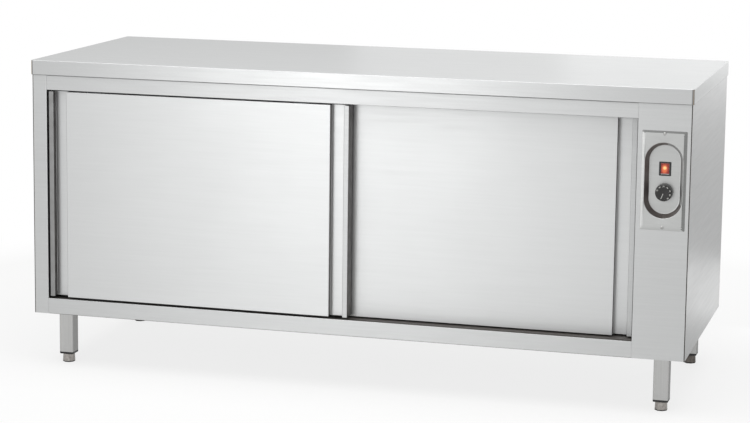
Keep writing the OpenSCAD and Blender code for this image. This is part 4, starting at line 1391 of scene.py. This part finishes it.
    def rocker(self) -> None:
        """Makes the lit rocker: a dished lens, tilted to the side that is pressed."""
        h, half = self.rocker_h / 2, self.rocker_w / 2
        across = [1 - 2 * i / 10 for i in range(11)]
        corners = [(self.rocker_front + self.rocker_dish * (1 - t ** 2), h * t, 0.0)
                   for t in across]
        corners += [(0, -h, 0.6), (4, -h / 2, 0.6), (4, h / 2, 0.6), (0, h, 0.6)]
        tilt = math.radians(-self.rocker_tilt)
        pivot = (self.x, self.rocker_pivot, self.switch_z)
        lens = Plane(pivot, (0, math.cos(tilt), math.sin(tilt)),
                     (0, -math.sin(tilt), math.cos(tilt)), (1, 0, 0))
        piece = Workpiece("switch_rocker_lens")
        piece.prism(lens, rounded(corners, steps=3), -half, half)
        piece.prism(section(*pivot), circle(self.pin_radius, 16), -self.pin_half, self.pin_half)
        piece.finish(Finishes.lens, "switch_rocker", "lit_red_lens", "switch_rocker",
                     bevel_mm=0.6, steps=3)

    def knob(self) -> None:
        """Makes the dial knob, with a fluted edge."""
        place = elevation(self.x, self.knob_back, self.knob_z)
        r = self.knob_radius
        deep = self.knob_back - self.knob_front
        knob = Workpiece("control_knob_turned").spindle(place, [
            (4.0, deep - 10.0), (4.0, 1.0), (r - 1.2, 0.0), (r, 0.6), (r - 0.2, 3.0),
            (r - 1.1, deep - 2.6), (r - 1.8, deep - 0.9), (r - 3.0, deep - 0.15),
            (r - 4.2, deep), (r - 9.0, deep), (r - 12.0, deep - 0.35), (2.0, deep - 0.6),
        ], 96).object()
        self.tools.flutes.run(knob, {
            "Flutes": self.flute_count, "Ring Radius": (r + 0.75) * MM,
            "Flute Radius": self.flute_radius * MM, "Length": 2 * (deep - 4.5) * MM,
            "Centre": (self.x * MM, (self.knob_back - 1.0) * MM, self.knob_z * MM),
            "Turn": (QUARTER, 0, 0), "Material": Finishes.phenolic.material(),
        })
        smooth(knob, sharp=40)
        fit(knob, Finishes.phenolic, "knob", "black_knob_plastic", "control_knob")

    def numeral(self, text: str, angle: float) -> bpy.types.Mesh:
        """Makes one number of the dial.

        Args:
            text: The number.
            angle: Where it stands round the knob, in radians.

        Returns:
            Its mesh, in place.
        """
        curve = bpy.data.curves.new("numeral", "FONT")
        curve.body = text
        curve.size = self.numeral_size * MM
        curve.extrude = 0.1 * MM
        curve.offset = 0.08 * MM
        curve.align_x = curve.align_y = "CENTER"
        curve.resolution_u = 2
        holder = bpy.data.objects.new("numeral", curve)
        bpy.context.scene.collection.objects.link(holder)
        mesh = baked(holder)
        bpy.data.objects.remove(holder)
        bpy.data.curves.remove(curve)
        reach = self.numeral_ring * self.knob_radius
        centre = elevation(self.x, self.knob_front + 0.05, self.knob_z).at(
            reach * math.cos(angle), reach * math.sin(angle)) * MM
        mesh.transform(Matrix.Translation(centre) @ Matrix.Rotation(QUARTER, 4, "X")
                       @ Matrix.Rotation(angle - QUARTER, 4, "Z"))
        return mesh

    def dial_marks(self) -> None:
        """Makes the numerals round the knob's face and the line that points to them."""
        piece = Workpiece("dial_marks_printed")
        for i, text in enumerate(self.numerals):
            mesh = self.numeral(text, math.radians(self.first_mark + i * self.mark_step))
            piece.bm.from_mesh(mesh)
            bpy.data.meshes.remove(mesh)
        angle = math.radians(self.pointer)
        place = Plane((self.x, self.knob_front, self.knob_z),
                      (math.cos(angle), 0, math.sin(angle)),
                      (-math.sin(angle), 0, math.cos(angle)), (0, -1, 0))
        near, far = (reach * self.knob_radius for reach in self.pointer_reach)
        half = self.pointer_half
        piece.prism(place, [(near, -half), (near, half), (far, half), (far, -half)], -0.8, 0.02)
        fit(piece.object(), Finishes.white_ink, "knob", "black_knob_plastic")


# ---- Chamber ----


@dataclass
class Chamber:
    """What is seen with the doors open: shelf, slotted uprights and the air cover."""

    tools: Toolbox
    shelf_x: Point = (-851.5, 711.5)
    shelf_y: Point = (-250.0, 300.4)
    shelf_z: Point = (462.0, 492.0)
    sheet: float = 1.2
    corner: float = 1.8
    fold: float = 2.0
    upright_x: Point = (-856.0, 712.0)
    upright_y: Point = (-210.0, 260.4)
    upright_z: Point = (196.0, 764.0)
    upright_w: float = 24.0
    upright_t: float = 4.0
    slot_first: float = 206.0
    slot_pitch: float = 50.0
    slot_count: int = 12
    slot_size: Point = (6.0, 12.0)
    slot_corner: float = 2.0
    cover_x: Point = (716.0, 760.0)
    cover_y: Point = (-253.0, 303.4)
    cover_z: Point = (195.0, 765.0)
    intake_z: float = 480.0
    intake_reach: float = 66.0
    intake_hole: float = 4.0
    intake_pitch: float = 16.0
    outlet_count: int = 14
    outlet_size: Point = (8.0, 40.0)
    outlet_inset: float = 30.0
    sideways: Triple = (QUARTER, 0, QUARTER)

    def build(self) -> None:
        """Makes the shelf, the uprights and the cover."""
        self.shelf()
        self.uprights()
        self.air_cover()

    def shelf(self) -> None:
        """Makes the shelf: a sheet folded down on all four sides."""
        (x0, x1), (y0, y1) = self.shelf_x, self.shelf_y
        Workpiece("shelf_folded").loft(plan((x0 + x1) / 2, (y0 + y1) / 2), tray(
            (x1 - x0) / 2, (y1 - y0) / 2, *self.shelf_z, self.sheet, self.corner, self.fold,
        )).finish(Finishes.shelf, "cabinet", "shelf_steel", "shelf")

    def uprights(self) -> None:
        """Makes the four slotted uprights, each punched with its row of slots."""
        z0, z1 = self.upright_z
        half = self.upright_w / 2
        piece = Workpiece("shelf_uprights_slotted")
        for x in self.upright_x:
            for y in self.upright_y:
                piece.block((x, y - half, z0), (x + self.upright_t, y + half, z1))
        made = piece.object()
        width, height = self.slot_size
        middle_z = self.slot_first + (self.slot_count - 1) * self.slot_pitch / 2
        for y in self.upright_y:
            self.tools.punch.run(made, {
                "Columns": 1, "Rows": self.slot_count, "Row Pitch": self.slot_pitch * MM,
                "Hole Width": width * MM, "Hole Height": height * MM,
                "Hole Radius": self.slot_corner * MM, "Depth": 2.0,
                "Centre": (0, y * MM, middle_z * MM), "Turn": self.sideways,
                "Material": Finishes.mill.material(),
            })
        smooth(made)
        fit(made, Finishes.mill, "cabinet", "upright_steel", "shelf_uprights")

    def air_cover(self) -> None:
        """Makes the cover over the air duct, with its intake holes and outlet slots."""
        (x0, x1), (y0, y1), (z0, z1) = self.cover_x, self.cover_y, self.cover_z
        middle_y = (y0 + y1) / 2
        place = Plane((x1, middle_y, (z0 + z1) / 2), (0, -1, 0), (0, 0, 1), (-1, 0, 0))
        made = Workpiece("air_cover_punched").loft(place, tray(
            (y1 - y0) / 2, (z1 - z0) / 2, 0.0, x1 - x0, self.sheet, self.corner, self.fold,
        )).object()
        common = {"Depth": 10 * MM, "Turn": self.sideways, "Material": Finishes.mill.material()}
        pitch, hole = self.intake_pitch * MM, self.intake_hole * MM
        # one row more than fits: the reach trims the pattern to its circle
        self.tools.punch.run(made, common | {
            "Columns": 11, "Rows": 9, "Column Pitch": pitch,
            "Row Pitch": pitch * math.sqrt(3) / 2, "Row Shift": 0.5 * pitch,
            "Reach": (self.intake_reach + 0.1) * MM,
            "Hole Width": 2 * hole, "Hole Height": 2 * hole, "Hole Radius": 0.98 * hole,
            "Centre": (x0 * MM, middle_y * MM, self.intake_z * MM),
        })
        wide, tall = self.outlet_size
        span = y1 - y0 - 2 * self.outlet_inset
        lower = z0 + self.outlet_inset + tall / 2
        upper = z1 - self.outlet_inset - tall / 2
        self.tools.punch.run(made, common | {
            "Columns": self.outlet_count, "Rows": 2,
            "Column Pitch": span / (self.outlet_count - 1) * MM,
            "Row Pitch": (upper - lower) * MM,
            "Hole Width": wide * MM, "Hole Height": tall * MM, "Hole Radius": 0.49 * wide * MM,
            "Centre": (x0 * MM, middle_y * MM, (lower + upper) / 2 * MM),
        })
        smooth(made)
        fit(made, Finishes.mill, "cabinet", "chamber_steel", "air_cover")


# ---- Undercarriage ----


@dataclass
class Undercarriage:
    """Four square legs with their plugs and levelling feet."""

    leg_x: float = 830.0
    leg_y: float = 269.0
    tube: float = 40.0
    wall: float = 1.5
    corner: float = 3.5
    foot_of_tube: float = 30.0
    tray_top: float = 151.2
    plate: float = 90.0
    plate_t: float = 3.0
    rim_bottom: float = 24.0
    plug_length: float = 20.0
    foot_radius: float = 17.3
    foot_top_radius: float = 16.0
    foot_height: float = 23.7
    foot_turn: float = 22.5
    stem_radius: float = 5.0
    stem_top: float = 78.0
    thread_pitch: float = 1.5
    thread_depth: float = 0.75

    def build(self) -> None:
        """Makes the legs, the plugs and the feet."""
        for depth, y in (("front", -self.leg_y), ("back", self.leg_y)):
            for hand, x in (("left", -self.leg_x), ("right", self.leg_x)):
                self.leg(f"leg_{depth}_{hand}", x, y)
                self.foot(f"foot_{depth}_{hand}", x, y)
        self.plugs()

    def leg(self, node: str, x: float, y: float) -> None:
        """Makes one leg: a square tube welded to its plate."""
        h, p, top, low = self.tube / 2, self.plate / 2, self.tray_top, self.foot_of_tube
        inner, bend = h - self.wall, self.corner - self.wall
        Workpiece(node + "_tube").loft(plan(x, y), boxes(
            (inner, inner, bend, top - 0.2), (inner, inner, bend, low),
            (h, h, self.corner, low), (h, h, self.corner, top),
            (p, p, 4.0, top), (p, p, 4.0, top + self.plate_t),
        )).finish(Finishes.leg, "cabinet", "leg_steel", node)

    def plugs(self) -> None:
        """Makes the four plugs that close the tubes and hold the feet."""
        piece = Workpiece("leg_plugs_moulded")
        h = self.tube / 2
        inner = h - self.wall - 0.1
        low, rim, top = self.rim_bottom, self.foot_of_tube, self.foot_of_tube + self.plug_length
        bore = circle(self.stem_radius + 0.05, 20, math.pi / 4)
        mouth = circle(self.stem_radius + 0.5, 20, math.pi / 4)
        for x in (-self.leg_x, self.leg_x):
            for y in (-self.leg_y, self.leg_y):
                piece.loft(plan(x, y), [
                    (bore, top), (bore, low + 0.4), (mouth, low),
                    *boxes((h - 1.4, h - 1.4, 3.0, low), (h - 0.4, h - 0.4, 3.5, low + 0.5),
                           (h, h, self.corner, low + 1.6), (h, h, self.corner, rim),
                           (inner, inner, 2.0, rim), (inner, inner, 2.0, top - 1),
                           (inner - 1, inner - 1, 2.0, top)),
                    (bore, top),
                ], capped=False)
        bmesh.ops.remove_doubles(piece.bm, verts=piece.bm.verts, dist=1e-6)
        piece.finish(Finishes.nylon_black, "cabinet", "black_plastic", "leg_plugs")

    def foot(self, node: str, x: float, y: float) -> None:
        """Makes one foot: an eight-sided base on a dark sole, and a threaded stem."""

        def eight(radius: float, level: float) -> Ring:
            """Returns the base's outline with slightly rounded corners."""
            corners = circle(radius, 8, math.radians(self.foot_turn))
            return rounded([(a, b, 1.6) for a, b in corners], steps=2), level

        r, top_r, high = self.foot_radius, self.foot_top_radius, self.foot_height
        stem, pitch = self.stem_radius, self.thread_pitch
        place = plan(x, y)
        base = Workpiece(node + "_base").loft(place, [
            eight(r - 0.9, 2.2), eight(r - 0.1, 3.0), eight(top_r + 0.15, high - 2.6),
            eight(top_r - 0.3, high - 1.2), eight(top_r - 1.6, high - 0.3),
            eight(top_r - 3.4, high),
        ])
        turns = int((self.stem_top - high + 1) / pitch)
        levels = [high - 1 + i * pitch for i in range(turns)]
        thread = [spot for z in levels
                  for spot in ((stem, z), (stem - self.thread_depth, z + pitch / 2))]
        base.spindle(place, thread + [(stem - 0.2, self.stem_top - 0.8),
                                      (stem - 1.0, self.stem_top)], 20)
        # Painted shade: the back feet get the darker copy of the foot finish
        base.finish(Finishes.foot if y < 0 else Finishes.dull_foot, node, "foot_steel", node,
                    sharp=28)
        Workpiece(node + "_sole").loft(place, [
            eight(r - 0.8, 0.0), eight(r, 0.8), eight(r, 2.0), eight(r - 0.9, 2.2),
        ]).finish(Finishes.rubber, node, "black_rubber")


# ---- CAD nodes that stay ----


@dataclass
class InnerWorks:
    """The CAD solids whose shape is right as it is: each gets its own finish."""

    fixed: tuple[tuple[Finish, tuple[str, ...]], ...] = (
        (Finishes.board, ("worktop_board",)),
        (Finishes.mill, ("base_tray", "chamber_floor", "chamber_back", "chamber_left_wall",
                         "heater_wall", "chamber_ceiling", "shelf_brackets")),
        (Finishes.wool, ("insulation",)),
        (Finishes.aluminium, ("door_track",)),
        (Finishes.nylon_grey, ("bottom_guide",)),
        (Finishes.rubber, ("door_stops",)),
        (Finishes.case, ("thermostat",)),
        (Finishes.brass, ("thermostat_shaft",)),
        (Finishes.copper, ("thermostat_bulb",)),
        (Finishes.motor, ("fan_motor",)),
        (Finishes.fan, ("fan_wheel",)),
        (Finishes.heater, ("heating_element",)),
        (Finishes.ceramic, ("safety_thermostat", "terminal_block")),
        (Finishes.nylon_black, ("cable_gland",)),
    )
    on_each_door: tuple[tuple[Finish, tuple[str, ...]], ...] = (
        (Finishes.wool, ("core",)),
        (Finishes.zinc, ("hangers",)),
        (Finishes.nylon_white, ("wheel_1", "wheel_2")),
        (Finishes.nylon_black, ("shoes",)),
    )

    def build(self) -> None:
        """Assigns each finish to its nodes' material slots."""
        for finish, nodes in self.fixed:
            for node in nodes:
                self.dress(node, finish)
        for finish, parts in self.on_each_door:
            for part in parts:
                self.dress(f"left_door_{part}", finish)
                self.dress(f"right_door_{part}", finish)

    @staticmethod
    def dress(node: str, finish: Finish) -> None:
        """Gives one CAD node a finish."""
        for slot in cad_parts[node].material_slots:
            slot.material = finish.material()
        log.info("%s: CAD solid in %s", node, finish.name)


# ---- Studio ----


@dataclass
class Softbox:
    """One plain area lamp that the camera doesn't see."""

    name: str
    place: Triple
    aim: Triple
    size: Point
    power: float

    def build(self) -> None:
        """Hangs the lamp in the studio."""
        light = bpy.data.lights.new(self.name, "AREA")
        light.shape = "RECTANGLE"
        light.size, light.size_y = self.size
        light.energy = self.power
        lamp = bpy.data.objects.new(self.name, light)
        lamp.location = self.place
        way = Vector(self.aim) - Vector(self.place)
        lamp.rotation_euler = way.to_track_quat("-Z", "Y").to_euler()
        lamp.visible_camera = False
        bpy.context.scene.collection.objects.link(lamp)


@dataclass
class Studio:
    """White sweep, soft lamps and the camera at the photograph's viewing angle."""

    camera_at: Triple = (1.64825, -5.98090, 1.53214)
    yaw: float = 15.63
    pitch: float = 8.92
    roll: float = 0.70
    lens: float = 108.76
    shift_y: float = -0.062
    floor_radius: float = 45.0
    floor_colour: str = "#F6F6F5"
    shadow: float = 0.22
    glow: float = 0.55
    plain_from: float = 0.9
    plain_to: float = 2.2
    ambient: float = 0.45
    lamps: tuple[Softbox, ...] = (
        Softbox("overhead_softbox", (0.0, -0.9, 3.3), (0.0, 0.0, 0.4), (4.2, 3.0), 80.0),
        Softbox("front_wide_strip", (-0.87, -3.3, 0.8), (-0.05, -0.35, 0.5), (1.7, 1.7), 8.6),
        Softbox("front_slim_strip", (-0.87, -3.32, 0.8), (-0.05, -0.35, 0.5), (0.8, 1.7), 5.2),
        Softbox("rear_wide_softbox", (0.65, 3.0, 1.2), (0.2, 0.0, 0.8), (3.4, 1.5), 9.6),
        Softbox("rear_softbox", (1.08, 3.02, 1.2), (0.2, 0.0, 0.8), (2.54, 1.5), 7.2),
        Softbox("rear_low_panel", (1.1, 0.75, 0.11), (0.9, -0.05, 0.2), (0.3, 0.18), 0.17),
    )

    def build(self) -> None:
        """Sets the world, the floor, the lamps and the camera."""
        bpy.context.scene.view_settings.view_transform = "Standard"
        self.camera()
        self.world()
        self.floor()
        for lamp in self.lamps:
            lamp.build()
        log.info("studio: %d lamps", len(self.lamps))

    def camera(self) -> None:
        """Stands the camera where the photograph was taken from."""
        yaw, pitch, roll = (math.radians(a) for a in (self.yaw, self.pitch, self.roll))
        level = Vector((-math.sin(yaw), math.cos(yaw), 0))
        right = Vector((math.cos(yaw), math.sin(yaw), 0))
        up = Vector((0, 0, 1))
        ahead = level * math.cos(pitch) - up * math.sin(pitch)
        over = up * math.cos(pitch) + level * math.sin(pitch)
        right, over = (right * math.cos(roll) + over * math.sin(roll),
                       over * math.cos(roll) - right * math.sin(roll))
        data = bpy.data.cameras.new("photo_camera")
        data.lens = self.lens
        data.sensor_width = 36.0
        data.sensor_fit = "HORIZONTAL"
        data.shift_y = self.shift_y
        data.clip_end = 200.0
        camera = bpy.data.objects.new("photo_camera", data)
        turn = Matrix((right, over, -ahead)).transposed().to_4x4()
        camera.matrix_world = Matrix.Translation(self.camera_at) @ turn
        bpy.context.scene.collection.objects.link(camera)
        bpy.context.scene.camera = camera

    @staticmethod
    def seen(tree: Tree) -> Node:
        """Returns 1 for rays from the camera, and for those that metal or glass sends on."""
        path = add_node(tree, "ShaderNodeLightPath").outputs
        both = add_node(tree, "ShaderNodeMath",
                        {0: path["Is Camera Ray"], 1: path["Is Glossy Ray"]},
                        operation="MAXIMUM")
        return add_node(tree, "ShaderNodeMath", {0: both, 1: path["Is Transmission Ray"]},
                        operation="MAXIMUM")

    def world(self) -> None:
        """Makes the white surroundings, weaker as a light than as a background."""
        world = bpy.data.worlds.new("white_studio")
        world.use_nodes = True
        tree = world.node_tree
        strength = add_node(tree, "ShaderNodeMapRange", {
            "Value": self.seen(tree), "To Min": self.ambient, "To Max": 1.0})
        feed(tree.nodes["Background"], {"Color": linear("#FFFFFF"), "Strength": strength})
        bpy.context.scene.world = world

    def floor(self) -> None:
        """Makes the pale floor, which keeps the shadow and fades to plain white."""
        piece = Workpiece("studio_floor")
        piece.bm.faces.new(piece.ring(plan(), circle(self.floor_radius / MM, 96), -0.3))
        made = piece.object(outward=False)
        material = bpy.data.materials.new("pale_matt_floor")
        material.use_nodes = True
        tree = material.node_tree
        shader = tree.nodes["Principled BSDF"]
        feed(shader, {"Base Color": linear(self.floor_colour), "Roughness": 1.0,
                      "Specular IOR Level": 0.0})
        place = add_node(tree, "ShaderNodeTexCoord").outputs["Object"]
        away = add_node(tree, "ShaderNodeVectorMath", {0: place}, operation="LENGTH")
        far = add_node(tree, "ShaderNodeMapRange", {
            "Value": away.outputs["Value"], "From Min": self.plain_from,
            "From Max": self.plain_to}, interpolation_type="SMOOTHSTEP")
        # The camera sees only a part of the shadow, and metal sees more of it
        eye = add_node(tree, "ShaderNodeLightPath").outputs["Is Camera Ray"]
        least = add_node(tree, "ShaderNodeMapRange", {
            "Value": eye, "To Min": self.glow, "To Max": 1 - self.shadow})
        reach = add_node(tree, "ShaderNodeMath", {0: far, 1: least}, operation="MAXIMUM")
        plain = add_node(tree, "ShaderNodeMath", {0: reach, 1: self.seen(tree)},
                         operation="MULTIPLY")
        white = add_node(tree, "ShaderNodeEmission", {"Color": linear("#FFFFFF")})
        mixed = add_node(tree, "ShaderNodeMixShader", {0: plain, 1: shader, 2: white})
        feed(tree.nodes["Material Output"], {"Surface": mixed})
        made.data.materials.append(material)
        made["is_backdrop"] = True


# ---- Assembly ----


def corners(bounds: Iterable[Iterable[float]]) -> list[list[float]]:
    """Returns a box as plain lists of numbers."""
    return [[float(part) for part in corner] for corner in bounds]


def main() -> None:
    """Builds the sub-assemblies in order."""
    tools = Toolbox()
    Studio().build()
    Worktop().build()
    Body(tools).build()
    Door("left", left=-851.0, front=-344.0).build()
    Door("right", left=-97.0, front=-302.0, bottom=195.0).build()
    ControlPanel(tools).build()
    Chamber(tools).build()
    Undercarriage().build()
    InnerWorks().build()
    {"cad": corners(CAD_BOX), "visual": corners(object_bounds())}


if __name__ == "__main__":
    main()
